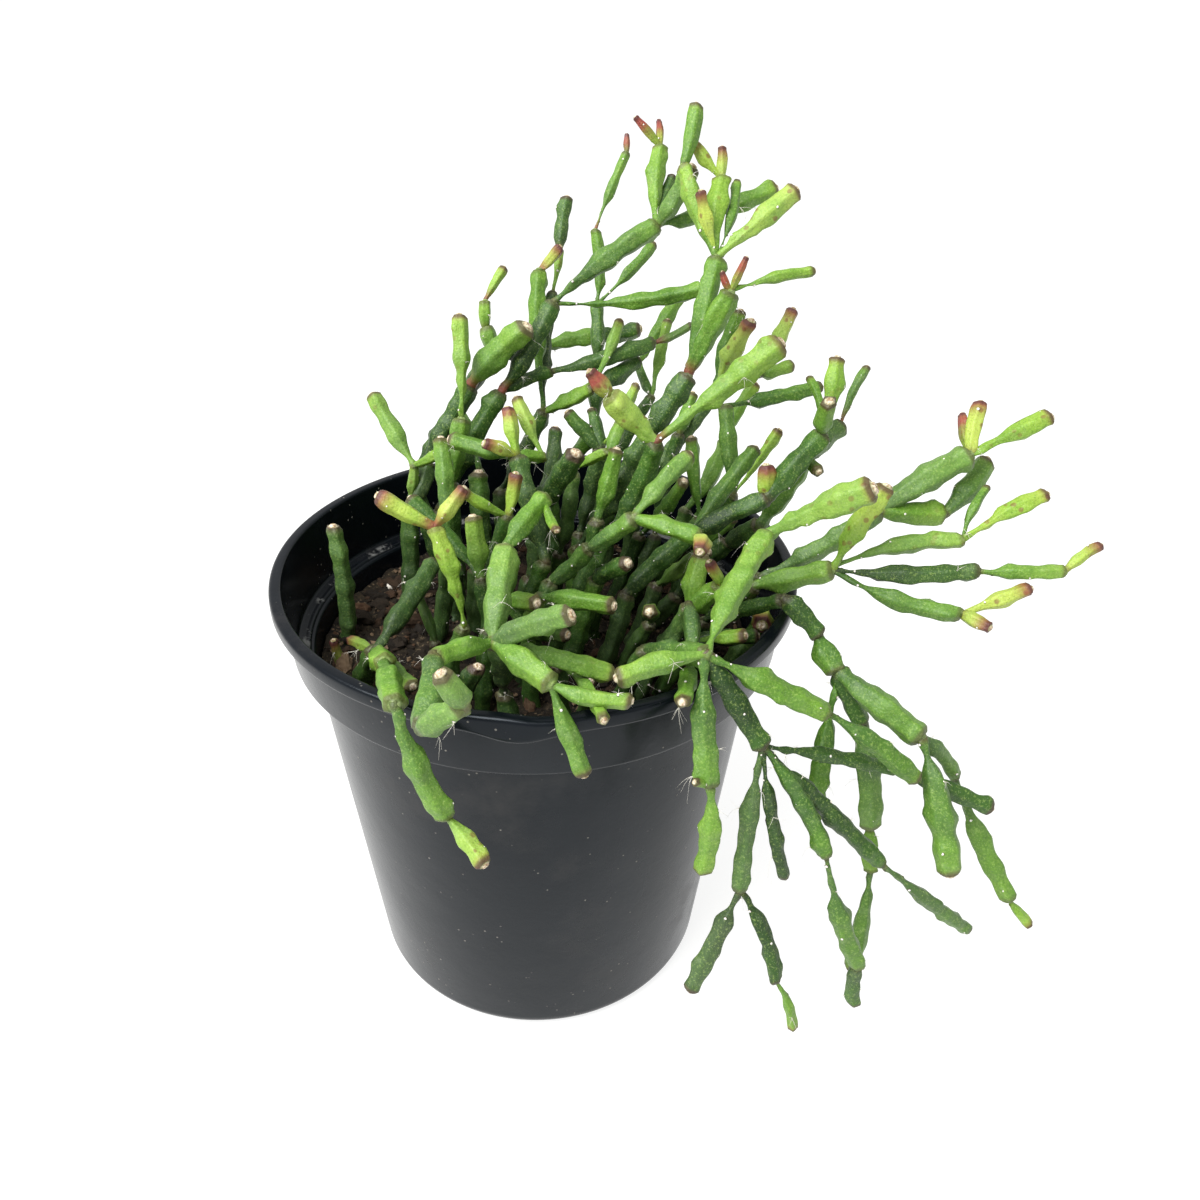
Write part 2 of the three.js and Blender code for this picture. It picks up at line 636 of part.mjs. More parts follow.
function potGeometry() {
  const { height, rimRadius, wall, floor, cornerRadius } = POT;
  const lipInside = rimRadius - POT.lipWidth;
  const stepZ = height - POT.collarDrop;
  const corner = Array.from({ length: 4 }, (_, i) => {
    const turn = (Math.PI / 2) * (i / 3);
    const middle = bodyRadius(cornerRadius) - cornerRadius;
    return [middle + cornerRadius * Math.sin(turn), cornerRadius * (1 - Math.cos(turn))];
  });
  const outside = [
    [0, 0],
    ...corner,
    [POT.stepRadius, stepZ - 1],
    [POT.collarFoot, stepZ + 1],
    [POT.collarTop, height - POT.lipDrop],
    [rimRadius - 0.6, height - POT.lipDrop],
    [rimRadius, height - POT.lipDrop + 0.8],
    [rimRadius, height - 0.8],
    [rimRadius - 0.8, height],
  ];
  const inside = [
    [lipInside + 0.5, height],
    [lipInside, height - 0.8],
    [POT.collarFoot - wall, stepZ + 1.6],
    [POT.stepRadius - wall, stepZ - 0.4],
    [bodyRadius(cornerRadius) - wall, cornerRadius],
    [bodyRadius(cornerRadius) - wall - cornerRadius + floor, floor],
    [0, floor],
  ];
  const profile = [...outside, ...inside].map(([r, z]) => new THREE.Vector2(r, z));
  return lathed(profile, POT.sides);
}

// A profile of (radius, height) points turned about the Z axis.
function lathed(profile, sides) {
  const geometry = new THREE.LatheGeometry(profile, sides);
  geometry.rotateX(Math.PI / 2);
  return geometry;
}

// The hole that drains the floor of the pot at one of its places.
function drainGeometry(index) {
  const turn = (2 * Math.PI * index) / DRAIN.count;
  const hole = new THREE.CylinderGeometry(DRAIN.radius, DRAIN.radius, POT.floor * 4, DRAIN.sides);
  hole.rotateX(Math.PI / 2);
  hole.translate(DRAIN.ring * Math.cos(turn), DRAIN.ring * Math.sin(turn), 0);
  return hole;
}

function potSolid() {
  const holes = Array.from({ length: DRAIN.count }, (_, i) => drainGeometry(i));
  return holes.map(toSolid).reduce((pot, hole) => pot.subtract(hole), toSolid(potGeometry()));
}

// ---------------------------------------------------------------- soil

// Height of the lumpy surface at a place.
function soilHeight(x, y) {
  const coarse = Math.sin(x / 6.1 + 0.7) * Math.cos(y / 7.3 - 0.4);
  const fine = Math.sin(x / 2.9 - y / 3.7);
  return SOIL.top + SOIL.lump * (0.7 * coarse + 0.3 * fine);
}

// The soil fills the pot from its floor to the surface, with room for the wall.
function soilGeometry() {
  const low = POT.floor + GAP;
  const ring = (radius, height) => Array.from({ length: SOIL.sides }, (_, i) => {
    const turn = (2 * Math.PI * i) / SOIL.sides;
    const [x, y] = [radius * Math.cos(turn), radius * Math.sin(turn)];
    return new THREE.Vector3(x, y, height ?? soilHeight(x, y));
  });
  const room = POT.wall + GAP;
  const edge = bodyRadius(SOIL.top) - room;
  const rings = [
    ring(bodyRadius(0) - room - POT.cornerRadius, low),
    ring(bodyRadius(POT.cornerRadius) - room - 1, POT.cornerRadius + 1),
  ];
  for (let i = SOIL.rings; i > 0; i -= 1) rings.push(ring((edge * i) / SOIL.rings));
  return loftRings(rings);
}

// The soil with a socket, a little wider than the stem, for each root.
function soilSolid(segments) {
  const rooted = segments.filter((segment) => segment.from.root);
  return rooted
    .map((segment) => toSolid(segmentGeometry(segment, GAP)))
    .reduce((soil, socket) => soil.subtract(socket), toSolid(soilGeometry()));
}

// ---------------------------------------------------------------- the part

function addMesh(group, name, solid, colour, roughness) {
  const material = new THREE.MeshStandardMaterial({ color: colour, roughness, metalness: 0 });
  const mesh = new THREE.Mesh(toGeometry(solid), material);
  mesh.name = name;
  group.add(mesh);
}

const segments = growStems();
settle(segments);

const group = new THREE.Group();
addMesh(group, 'nursery_pot', potSolid(), COLOURS.pot, 0.42);
addMesh(group, 'potting_soil', soilSolid(segments), COLOURS.soil, 0.95);
for (const name of Object.keys(STEMS)) {
  const own = segments.filter((segment) => segment.stem === name);
  addMesh(group, `stem_${name}`, joined(own.map((segment) => segmentGeometry(segment))), COLOURS.stem, 0.5);
}

export default group;
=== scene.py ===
"""Blender scene of a potted rhipsalis: the looks of the pot, the soil and the stems.

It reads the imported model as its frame. The stems follow the same skeleton as the
model's, so its joints are repeated here, in millimetres, and everything else is
worked out from them and from the frame's boxes.
"""

import math
import random

import bmesh
import bpy
import numpy as np
from mathutils import Matrix, Vector, noise


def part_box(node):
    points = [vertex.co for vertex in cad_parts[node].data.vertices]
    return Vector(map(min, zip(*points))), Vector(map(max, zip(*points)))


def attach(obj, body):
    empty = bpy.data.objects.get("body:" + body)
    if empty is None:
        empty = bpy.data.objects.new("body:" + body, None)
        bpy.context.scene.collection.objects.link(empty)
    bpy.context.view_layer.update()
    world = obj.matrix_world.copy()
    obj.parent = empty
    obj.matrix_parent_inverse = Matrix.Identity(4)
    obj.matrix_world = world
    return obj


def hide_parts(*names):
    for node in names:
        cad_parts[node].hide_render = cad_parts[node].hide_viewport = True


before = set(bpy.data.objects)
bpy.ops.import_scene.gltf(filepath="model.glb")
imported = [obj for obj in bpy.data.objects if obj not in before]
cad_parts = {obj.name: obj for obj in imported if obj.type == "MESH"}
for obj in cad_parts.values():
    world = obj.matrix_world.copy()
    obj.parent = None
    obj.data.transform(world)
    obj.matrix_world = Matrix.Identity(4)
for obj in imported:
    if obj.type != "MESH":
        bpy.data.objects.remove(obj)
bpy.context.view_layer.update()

MM = 0.001  # the stems' joints are in millimetres, and Blender's unit is the metre

# ---------------------------------------------------------------- the stems' skeleton
# The same joints as in the model. A row is one segment: its far joint, the joint
# that it grows from ("" is the root), x, y, z, its width and its age.

STEMS = {
    "left_short": [[-46, 0, 83],
    ["a", "", -46, 4, 118, 4, "old"],
    ],
    "left_rim": [[-41, -19, 83],
    ["a", "", -34, -27, 105, 4.2, "old"],
    ["h", "a", -29, -44, 114, 4.4, "mid"],
    ["b", "h", -25, -61, 117, 4.4, "mid"],
    ["c", "b", -17, -66, 95, 4.2, "mid"],
    ["d", "c", -10, -74, 91, 3.4, "fresh"],
    ["e", "a", -23, -4, 113, 4.5, "old"],
    ["f", "a", -24, -45, 109, 3, "mid"],
    ["g", "a", -41, -17, 101, 2.4, "young"],
    ],
    "rear_left": [[-33, 14, 83],
    ["a", "", -31, 20, 115, 4.1, "old"],
    ["b", "a", -26, 26, 124, 4.1, "old"],
    ["c", "b", -13, 31, 140, 4.8, "old"],
    ["d", "c", -1, 29, 156, 5.8, "mid"],
    ["e", "a", -29, 22, 125, 2.3, "fresh"],
    ["f", "e", -39, 34, 138, 4, "mid"],
    ["g", "e", -22, 20, 129, 2.5, "fresh"],
    ],
    "front_star": [[-4, -41, 83],
    ["a", "", -7, -41, 104, 4, "old"],
    ["b", "a", -8, -48, 121, 3.6, "old"],
    ["c", "b", 6, -53, 130, 4.3, "pale"],
    ["d", "b", 2, -57, 115, 4.7, "mid"],
    ["e", "d", 8, -65, 103, 3.1, "mid"],
    ["f", "d", 16, -62, 115, 3, "mid"],
    ["g", "b", 14, -49, 114, 3.7, "mid"],
    ["h", "b", -18, -57, 124, 3.6, "mid"],
    ["i", "h", -19, -71, 120, 4.6, "old"],
    ["j", "i", -12, -74, 127, 3.9, "pale"],
    ["k", "j", -15, -75, 134, 3.5, "pale"],
    ["l", "b", -6, -30, 131, 4.8, "mid"],
    ["m", "l", 2, -20, 137, 4.1, "mid"],
    ["n", "m", 4, -31, 135, 2, "fresh"],
    ],
    "front_low": [[6, -39, 83],
    ["a", "", 4, -39, 107, 3.4, "old"],
    ["b", "a", 12, -66, 115, 2.6, "mid"],
    ],
    "left_fork": [[-21, -26, 83],
    ["a", "", -15, -29, 112, 3.5, "old"],
    ["b", "a", -20, -23, 132, 3.7, "fresh"],
    ["c", "b", -31, -21, 138, 3.5, "young"],
    ["d", "b", -14, -20, 139, 3, "young"],
    ],
    "left_pair": [[-12, -22, 83],
    ["a", "", -10, -16, 116, 3.6, "old"],
    ["b", "a", -13, -12, 129, 3.8, "mid"],
    ["c", "a", -27, -4, 129, 3.2, "old"],
    ],
    "left_bud": [[-24, -13, 83],
    ["a", "", -23, -14, 98, 3, "old"],
    ["b", "a", -27, -8, 107, 2.5, "mid"],
    ],
    "left_tall": [[-20, 9, 83],
    ["a", "", -20, 16, 123, 4.5, "old"],
    ["b", "a", -17, 21, 137, 4.3, "mid"],
    ["c", "b", -17, 32, 158, 3.7, "fresh"],
    ],
    "left_mid": [[-26, -2, 83],
    ["a", "", -20, 1, 115, 3.9, "old"],
    ["b", "a", -21, 12, 136, 3.9, "mid"],
    ],
    "left_stub": [[-15, 2, 83],
    ["a", "", -13, 13, 127, 4.5, "old"],
    ],
    "rear_arch": [[-19, 22, 83],
    ["a", "", -24, 24, 112, 4.4, "old"],
    ["b", "a", -10, 31, 141, 4.8, "old"],
    ["c", "b", 5, 36, 160, 4.2, "old"],
    ["d", "c", 29, 39, 177, 4.6, "mid"],
    ["e", "c", 40, 30, 165, 3.6, "mid"],
    ["f", "d", 36, 37, 190, 4.1, "mid"],
    ["g", "d", 33, 48, 186, 2.4, "old"],
    ["h", "d", 30, 50, 192, 4, "fresh"],
    ["i", "h", 24, 51, 198, 1.8, "bud"],
    ["j", "h", 30, 55, 197, 1.6, "bud"],
    ["k", "d", 43, 42, 179, 2.8, "mid"],
    ["l", "k", 57, 45, 184, 4, "mid"],
    ["m", "b", 4, 36, 143, 3.2, "old"],
    ["n", "m", 30, 40, 149, 3.7, "old"],
    ["o", "n", 39, 42, 153, 2, "mid"],
    ],
    "back_left": [[-24, 34, 83],
    ["a", "", -31, 38, 112, 4.2, "old"],
    ["p", "a", -20, 46, 129, 4, "old"],
    ["b", "p", -10, 51, 143, 4.1, "old"],
    ["c", "b", -12, 53, 149, 3.8, "mid"],
    ["d", "c", -12, 55, 155, 3, "mid"],
    ["e", "d", -7, 60, 162, 2.4, "fresh"],
    ["f", "b", 4, 57, 143, 3.9, "old"],
    ["g", "f", 18, 59, 145, 4.2, "mid"],
    ["h", "g", 28, 58, 147, 4.2, "old"],
    ],
    "rear_centre": [[-6, 32, 83],
    ["a", "", -9, 35, 112, 4.2, "old"],
    ["b", "a", 3, 34, 134, 3.6, "old"],
    ["c", "b", 2, 50, 164, 4.2, "mid"],
    ["d", "c", 7, 52, 169, 2.7, "young"],
    ["e", "b", 5, 52, 158, 3.3, "old"],
    ["f", "e", 7, 59, 167, 2.1, "fresh"],
    ["g", "f", 9, 65, 178, 3.3, "old"],
    ["h", "b", 14, 33, 140, 3.3, "mid"],
    ["i", "h", 21, 41, 154, 2.8, "fresh"],
    ["j", "h", 26, 43, 144, 3.8, "old"],
    ],
    "rear_right": [[6, 36, 83],
    ["a", "", 4, 38, 112, 4.2, "old"],
    ["b", "a", 16, 36, 129, 3.6, "old"],
    ["c", "b", 16, 45, 144, 3.1, "old"],
    ["d", "c", 16, 52, 155, 3.3, "old"],
    ["e", "d", 16, 61, 171, 3.1, "mid"],
    ["f", "e", 24, 69, 188, 2.3, "mid"],
    ["g", "f", 24, 71, 192, 1.4, "bud"],
    ["h", "d", 31, 61, 168, 2.6, "mid"],
    ],
    "rear_mid": [[17, 32, 83],
    ["a", "", 18, 34, 112, 4, "old"],
    ["b", "a", 30, 41, 135, 2.8, "old"],
    ["c", "b", 34, 49, 152, 2.6, "mid"],
    ["d", "b", 27, 49, 141, 2.2, "old"],
    ["e", "d", 38, 59, 155, 3.6, "mid"],
    ],
    "rear_spray": [[22, 22, 83],
    ["a", "", 24, 23, 112, 4, "old"],
    ["b", "a", 44, 27, 141, 3.2, "old"],
    ["c", "b", 49, 33, 159, 3.3, "mid"],
    ["d", "b", 50, 25, 159, 3.9, "young"],
    ["e", "b", 54, 27, 146, 2.5, "old"],
    ["f", "e", 61, 31, 160, 3, "young"],
    ["g", "e", 62, 29, 147, 3.1, "mid"],
    ],
    "back_fork": [[7, 22, 83],
    ["a", "", 16, 26, 127, 3.9, "old"],
    ["b", "a", 8, 30, 135, 3.3, "old"],
    ["c", "a", 14, 32, 135, 3, "old"],
    ["d", "a", 25, 33, 141, 2.6, "fresh"],
    ],
    "back_right": [[25, 13, 83],
    ["a", "", 35, 24, 132, 3.2, "old"],
    ["b", "a", 38, 27, 141, 3, "mid"],
    ],
    "mid_sprig": [[3, 14, 83],
    ["a", "", 9, 13, 127, 3.5, "old"],
    ["b", "a", 17, 11, 133, 2.4, "fresh"],
    ["c", "b", 20, 16, 138, 3.2, "mid"],
    ],
    "centre_bud": [[-3, 8, 83],
    ["a", "", 1, 9, 120, 4.6, "old"],
    ["b", "a", 9, 1, 137, 4.6, "old"],
    ["c", "a", 5, 20, 135, 3.5, "old"],
    ],
    "tall_centre": [[9, 6, 83],
    ["a", "", 10, 7, 110, 4.8, "old"],
    ["b", "a", 26, 8, 139, 4.5, "old"],
    ["c", "b", 34, 11, 151, 4.9, "old"],
    ["d", "c", 40, 21, 174, 4.4, "mid"],
    ["e", "d", 33, 31, 191, 3.5, "mid"],
    ["f", "e", 36, 38, 202, 3.5, "mid"],
    ["g", "d", 36, 24, 187, 2.7, "young"],
    ["h", "d", 42, 33, 188, 4.4, "fresh"],
    ["i", "h", 35, 37, 195, 2.4, "young"],
    ["j", "h", 42, 36, 194, 2.2, "young"],
    ["k", "d", 57, 26, 187, 4.3, "fresh"],
    ["l", "d", 46, 36, 187, 2.3, "mid"],
    ["m", "c", 42, 12, 169, 4.5, "mid"],
    ["n", "m", 40, 13, 173, 1.4, "bud"],
    ["o", "m", 45, 13, 176, 1.7, "bud"],
    ["p", "m", 60, 14, 173, 2.4, "mid"],
    ],
    "centre_fork": [[1, -9, 83],
    ["a", "", 16, -5, 121, 4, "old"],
    ["b", "a", 25, -9, 144, 4.4, "old"],
    ["c", "b", 50, -4, 163, 5.7, "fresh"],
    ["d", "b", 15, -9, 154, 4.8, "fresh"],
    ["e", "d", 11, -9, 159, 3.2, "bud"],
    ],
    "left_crown": [[-8, -8, 83],
    ["a", "", 2, -8, 115, 4, "old"],
    ["b", "a", -4, 4, 135, 4.4, "old"],
    ["c", "b", -6, 10, 144, 3.1, "young"],
    ["d", "b", -11, 2, 139, 3, "young"],
    ["e", "b", -19, 9, 137, 3.7, "mid"],
    ["f", "b", 2, 8, 133, 2.8, "mid"],
    ["g", "f", -4, 16, 144, 3.2, "fresh"],
    ],
    "left_sprig": [[-14, -13, 83],
    ["a", "", -6, -9, 127, 3.4, "old"],
    ["b", "a", -4, -7, 136, 3, "young"],
    ["c", "a", -15, -11, 133, 2.8, "fresh"],
    ],
    "centre_sprig": [[13, 0, 83],
    ["a", "", 14, -2, 122, 4, "old"],
    ["b", "a", 18, 3, 137, 3.7, "mid"],
    ],
    "centre_arm": [[-6, -20, 83],
    ["a", "", 2, -15, 114, 3.7, "old"],
    ["b", "a", 11, -18, 124, 3.4, "old"],
    ["c", "b", 20, -20, 132, 3.9, "mid"],
    ["d", "c", 33, -25, 130, 3.5, "mid"],
    ["e", "d", 32, -31, 130, 3.3, "young"],
    ["f", "c", 32, -11, 142, 3.6, "mid"],
    ],
    "centre_curl": [[-1, -28, 83],
    ["a", "", -2, -26, 109, 3.4, "old"],
    ["b", "a", 1, -27, 118, 3.3, "mid"],
    ["c", "b", 15, -36, 121, 3.6, "mid"],
    ["d", "a", -6, -25, 116, 3, "old"],
    ["e", "d", 0, -33, 120, 3.4, "mid"],
    ],
    "centre_stub": [[4, -19, 83],
    ["a", "", 13, -14, 114, 3.9, "old"],
    ["b", "a", 19, -21, 122, 3.7, "old"],
    ],
    "right_rise": [[12, -13, 83],
    ["a", "", 20, -12, 109, 4, "old"],
    ["b", "a", 34, -9, 122, 4.4, "old"],
    ["c", "b", 50, -10, 131, 4.3, "old"],
    ["d", "c", 62, -5, 143, 4.7, "old"],
    ["e", "d", 64, 2, 158, 3.5, "fresh"],
    ["f", "d", 60, -10, 153, 3.7, "mid"],
    ["g", "d", 60, 7, 152, 1.9, "mid"],
    ["h", "c", 49, -8, 138, 3.4, "young"],
    ["i", "b", 49, 3, 137, 3.8, "old"],
    ],
    "right_knot": [[20, -20, 83],
    ["a", "", 33, -23, 111, 3.8, "old"],
    ["b", "a", 38, -26, 119, 4.1, "mid"],
    ["c", "b", 35, -26, 125, 2.4, "young"],
    ["d", "b", 39, -31, 122, 2.4, "fresh"],
    ["e", "a", 35, -18, 122, 4.2, "mid"],
    ],
    "right_drop": [[16, -27, 83],
    ["a", "", 31, -29, 116, 3.5, "old"],
    ["b", "a", 30, -41, 112, 3.3, "old"],
    ["c", "b", 26, -61, 115, 3, "mid"],
    ],
    "right_star": [[14, -37, 83],
    ["a", "", 23, -39, 109, 4, "old"],
    ["b", "a", 32, -54, 117, 4.1, "old"],
    ["c", "b", 14, -57, 119, 3.8, "mid"],
    ["d", "b", 46, -26, 131, 5, "mid"],
    ["e", "d", 64, -32, 144, 5.7, "fresh"],
    ["f", "b", 54, -56, 109, 4.2, "mid"],
    ["g", "f", 73, -59, 95, 3.9, "mid"],
    ["h", "b", 31, -64, 99, 4.2, "mid"],
    ["i", "h", 31, -67, 80, 4, "mid"],
    ["j", "h", 28, -66, 102, 1.7, "mid"],
    ["k", "b", 42, -58, 103, 3.8, "old"],
    ["l", "k", 39, -66, 73, 3.4, "old"],
    ["m", "l", 30, -72, 51, 3.3, "old"],
    ["n", "l", 47, -73, 54, 3, "old"],
    ["o", "n", 52, -74, 40, 2.4, "fresh"],
    ["p", "k", 49, -62, 72, 2.7, "old"],
    ["q", "k", 56, -64, 80, 3.6, "old"],
    ["r", "q", 66, -68, 51, 3.6, "mid"],
    ["s", "r", 67, -68, 39, 3, "old"],
    ["t", "k", 69, -61, 74, 3.5, "old"],
    ["u", "t", 91, -62, 54, 3, "old"],
    ["v", "k", 73, -54, 93, 2.8, "old"],
    ["w", "v", 91, -57, 85, 3.3, "old"],
    ],
    "right_rim": [[36, -13, 83],
    ["a", "", 43, -20, 102, 3.8, "old"],
    ["n", "a", 53, -29, 116, 3.4, "old"],
    ["b", "n", 58, -33, 111, 3.9, "old"],
    ["c", "b", 61, -39, 106, 4.9, "mid"],
    ["d", "c", 73, -51, 98, 5.2, "mid"],
    ["e", "d", 80, -66, 76, 4.8, "mid"],
    ["f", "d", 85, -52, 88, 2.8, "old"],
    ["g", "f", 98, -62, 63, 3.8, "mid"],
    ["h", "g", 103, -64, 57, 2, "fresh"],
    ["i", "c", 67, -42, 95, 3.8, "old"],
    ["j", "i", 70, -50, 73, 4.6, "old"],
    ["k", "j", 71, -53, 63, 3.2, "mid"],
    ["l", "k", 68, -61, 41, 3.5, "mid"],
    ["m", "c", 58, -49, 75, 4, "mid"],
    ],
    "right_low": [[25, -23, 83],
    ["a", "", 35, -28, 107, 3.4, "old"],
    ["b", "a", 53, -31, 110, 3.6, "old"],
    ["c", "a", 44, -35, 111, 2.9, "fresh"],
    ],
    "right_fan": [[30, -9, 83],
    ["a", "", 47, -18, 114, 3.9, "old"],
    ["b", "a", 62, -23, 121, 4.6, "mid"],
    ["c", "b", 71, -21, 139, 4.5, "fresh"],
    ["d", "b", 89, -22, 127, 3.4, "mid"],
    ["e", "d", 105, -21, 137, 3.2, "fresh"],
    ["f", "d", 96, -13, 135, 2, "mid"],
    ["g", "b", 91, -28, 123, 3.5, "old"],
    ["h", "g", 107, -32, 125, 2.9, "mid"],
    ["i", "h", 114, -30, 130, 2.3, "young"],
    ["j", "b", 86, -35, 117, 3.6, "mid"],
    ["k", "j", 99, -35, 123, 3, "young"],
    ["l", "j", 90, -40, 117, 2.7, "young"],
    ],
    "right_arm": [[32, -1, 83],
    ["a", "", 50, -11, 112, 4, "old"],
    ["b", "a", 74, -12, 129, 4.4, "old"],
    ["c", "b", 92, -10, 141, 5.3, "mid"],
    ["d", "c", 108, -9, 149, 3.7, "fresh"],
    ["e", "c", 95, -3, 150, 3, "young"],
    ["f", "c", 92, -2, 147, 2.2, "bud"],
    ["g", "b", 86, -5, 136, 2.1, "old"],
    ["h", "b", 89, -10, 127, 4.8, "mid"],
    ["i", "h", 99, -4, 137, 4.8, "mid"],
    ],
    "right_facing": [[37, -16, 83],
    ["a", "", 50, -13, 106, 3.5, "old"],
    ["b", "a", 51, -25, 110, 4.1, "young"],
    ],
    "upper_right": [[25, 4, 83],
    ["a", "", 45, 2, 114, 4, "old"],
    ["b", "a", 50, -5, 122, 4, "old"],
    ["c", "b", 59, -1, 137, 5.5, "mid"],
    ["d", "c", 60, -8, 137, 2.8, "mid"],
    ["e", "c", 68, 4, 142, 4.4, "old"],
    ["f", "e", 74, 11, 153, 2.1, "mid"],
    ],
    "upper_mid": [[16, 10, 83],
    ["a", "", 39, 9, 116, 3.8, "old"],
    ["b", "a", 46, 7, 124, 3.6, "old"],
    ["c", "b", 44, 16, 142, 3.6, "mid"],
    ["d", "b", 56, 11, 138, 2.8, "fresh"],
    ["e", "c", 67, 20, 145, 3, "old"],
    ["f", "a", 36, 14, 135, 3, "mid"],
    ],
    "inner_front": [[-18, -33, 83],
    ["a", "", -12, -36, 107, 3.6, "old"],
    ],
    "inner_star": [[-12, -29, 83],
    ["a", "", -12, -21, 107, 3.6, "old"],
    ["b", "a", -7, -13, 121, 3.4, "mid"],
    ],
    "inner_low": [[-17, -19, 83],
    ["a", "", -8, -16, 102, 3.5, "old"],
    ["b", "a", 7, -25, 107, 3.4, "old"],
    ],
    "inner_right": [[20, -4, 83],
    ["a", "", 28, -2, 105, 3.8, "old"],
    ["b", "a", 38, -9, 118, 3.6, "mid"],
    ],
    "inner_back": [[17, 17, 83],
    ["a", "", 26, 17, 108, 3.8, "old"],
    ["b", "a", 35, 10, 126, 3.4, "mid"],
    ],
    "inner_rim": [[33, 9, 83],
    ["a", "", 37, 13, 105, 3.6, "old"],
    ["b", "a", 47, 9, 117, 3.6, "mid"],
    ],
    "inner_deep": [[19, -10, 83],
    ["a", "", 25, -17, 104, 3.4, "old"],
    ["b", "a", 23, -29, 115, 3.2, "mid"],
    ],
    "inner_spray": [[30, 20, 83],
    ["a", "", 38, 21, 107, 3.6, "old"],
    ["b", "a", 48, 15, 120, 3.4, "mid"],
    ],
    "soil_bud_left": [[-44, -9, 83],
    ["a", "", -46, -11, 97, 2.2, "young"],
    ],
    "soil_bud_front": [[9, -31, 83],
    ["a", "", 11, -31, 99, 3, "old"],
    ],
    "soil_bud_right": [[18, -33, 83],
    ["a", "", 20, -26, 99, 2, "mid"],
    ],
    "back_low_left": [[-13, 43, 83],
    ["a", "", -15, 47, 112, 3.8, "old"],
    ["b", "a", -21, 55, 127, 3.6, "mid"],
    ],
    "back_low_right": [[18, 42, 83],
    ["a", "", 21, 46, 110, 3.8, "old"],
    ["b", "a", 27, 53, 126, 3.6, "mid"],
    ],
    "back_side": [[34, 28, 83],
    ["a", "", 39, 31, 108, 3.8, "old"],
    ["b", "a", 49, 37, 124, 3.8, "mid"],
    ["c", "b", 57, 44, 137, 3.4, "fresh"],
    ],
}

LONGEST_RUN = 36  # a longer first run is two segments
KNEE_BOW = 0.06  # how far the joint of such a run stands off its line
CLEARANCE = 0.5  # room kept between segments of different stems
WATCH_REACH = 12  # pairs nearer than this are kept apart
SETTLE_PASSES = 120
LIP_RADIUS = 57.9  # ring that runs round the middle of the pot's lip
LIP_HEIGHT = 109.6
LIP_THICK = 2.6
LIP_GAP = 0.3


class Joint:
    def __init__(self, at, root=False):
        self.at = Vector(at)
        self.root = root
        self.grows = 0  # segments that start here


class Segment:
    def __init__(self, stem, key, start, end, radius, age):
        self.stem = stem
        self.key = key
        self.start = start
        self.end = end
        self.radius = radius
        self.age = age
        start.grows += 1


def grow_stems():
    """The segments of every stem, in the model's order."""
    segments = []
    for name, (root_at, *rows) in STEMS.items():
        root = Joint(root_at, root=True)
        by_name = {"": root}
        for key, source, x, y, z, width, age in rows:
            joint = Joint((x, y, z))
            start = by_name[source]
            run = joint.at - start.at
            if start.root and run.length > LONGEST_RUN:
                aside = Vector((-run.x, -run.y, 0)) * KNEE_BOW
                knee = Joint(start.at + run * 0.5 + aside)
                segments.append(Segment(name, "", start, knee, width / 2, age))
                start = knee
            by_name[key] = joint
            segments.append(Segment(name, key, start, joint, width / 2, age))
    return segments


def clamp(value):
    return min(max(value, 0.0), 1.0)


def nearest(a, b):
    """Where two segments come nearest: the shares along them, and the vector between."""
    u = a.end.at - a.start.at
    v = b.end.at - b.start.at
    w = a.start.at - b.start.at
    uu, uv, vv, uw, vw = u.dot(u), u.dot(v), v.dot(v), u.dot(w), v.dot(w)
    across = uu * vv - uv * uv
    s = clamp((uv * vw - vv * uw) / across) if across > 1e-9 else 0.5
    t = clamp((uv * s + vw) / vv)
    s = clamp((uv * t - uw) / uu)
    return s, t, b.start.at + v * t - a.start.at - u * s


def push(segment, s, vector):
    """Moves the point at share s of a segment, through its two end joints."""
    total = (1 - s) ** 2 + s * s
    if not segment.start.root:
        segment.start.at += vector * ((1 - s) / total)
    segment.end.at += vector * (s / total)


def clear_lip(segment):
    """Keeps a segment off the rolled lip of the pot."""
    steps = 8
    for i in range(steps + 1):
        s = i / steps
        point = segment.start.at.lerp(segment.end.at, s)
        outward = Vector((point.x, point.y, 0)).normalized()
        away = point - outward * LIP_RADIUS - Vector((0, 0, LIP_HEIGHT))
        short = LIP_THICK + segment.radius + LIP_GAP - away.length
        if short > 0:
            push(segment, s, away * (short / away.length))


def settle(segments):
    """Moves crowded segments apart, as the model does."""
    pairs = [
        (a, b)
        for i, a in enumerate(segments)
        for b in segments[i + 1 :]
        if a.stem != b.stem and nearest(a, b)[2].length < WATCH_REACH
    ]
    for _ in range(SETTLE_PASSES):
        for a, b in pairs:
            s, t, gap = nearest(a, b)
            distance = gap.length
            short = a.radius + b.radius + CLEARANCE - distance
            if short <= 0:
                continue
            gap = gap * (short / 2 / max(distance, 1e-6))
            push(b, t, gap)
            push(a, s, -gap)
        for segment in segments:
            clear_lip(segment)


# ---------------------------------------------------------------- node materials


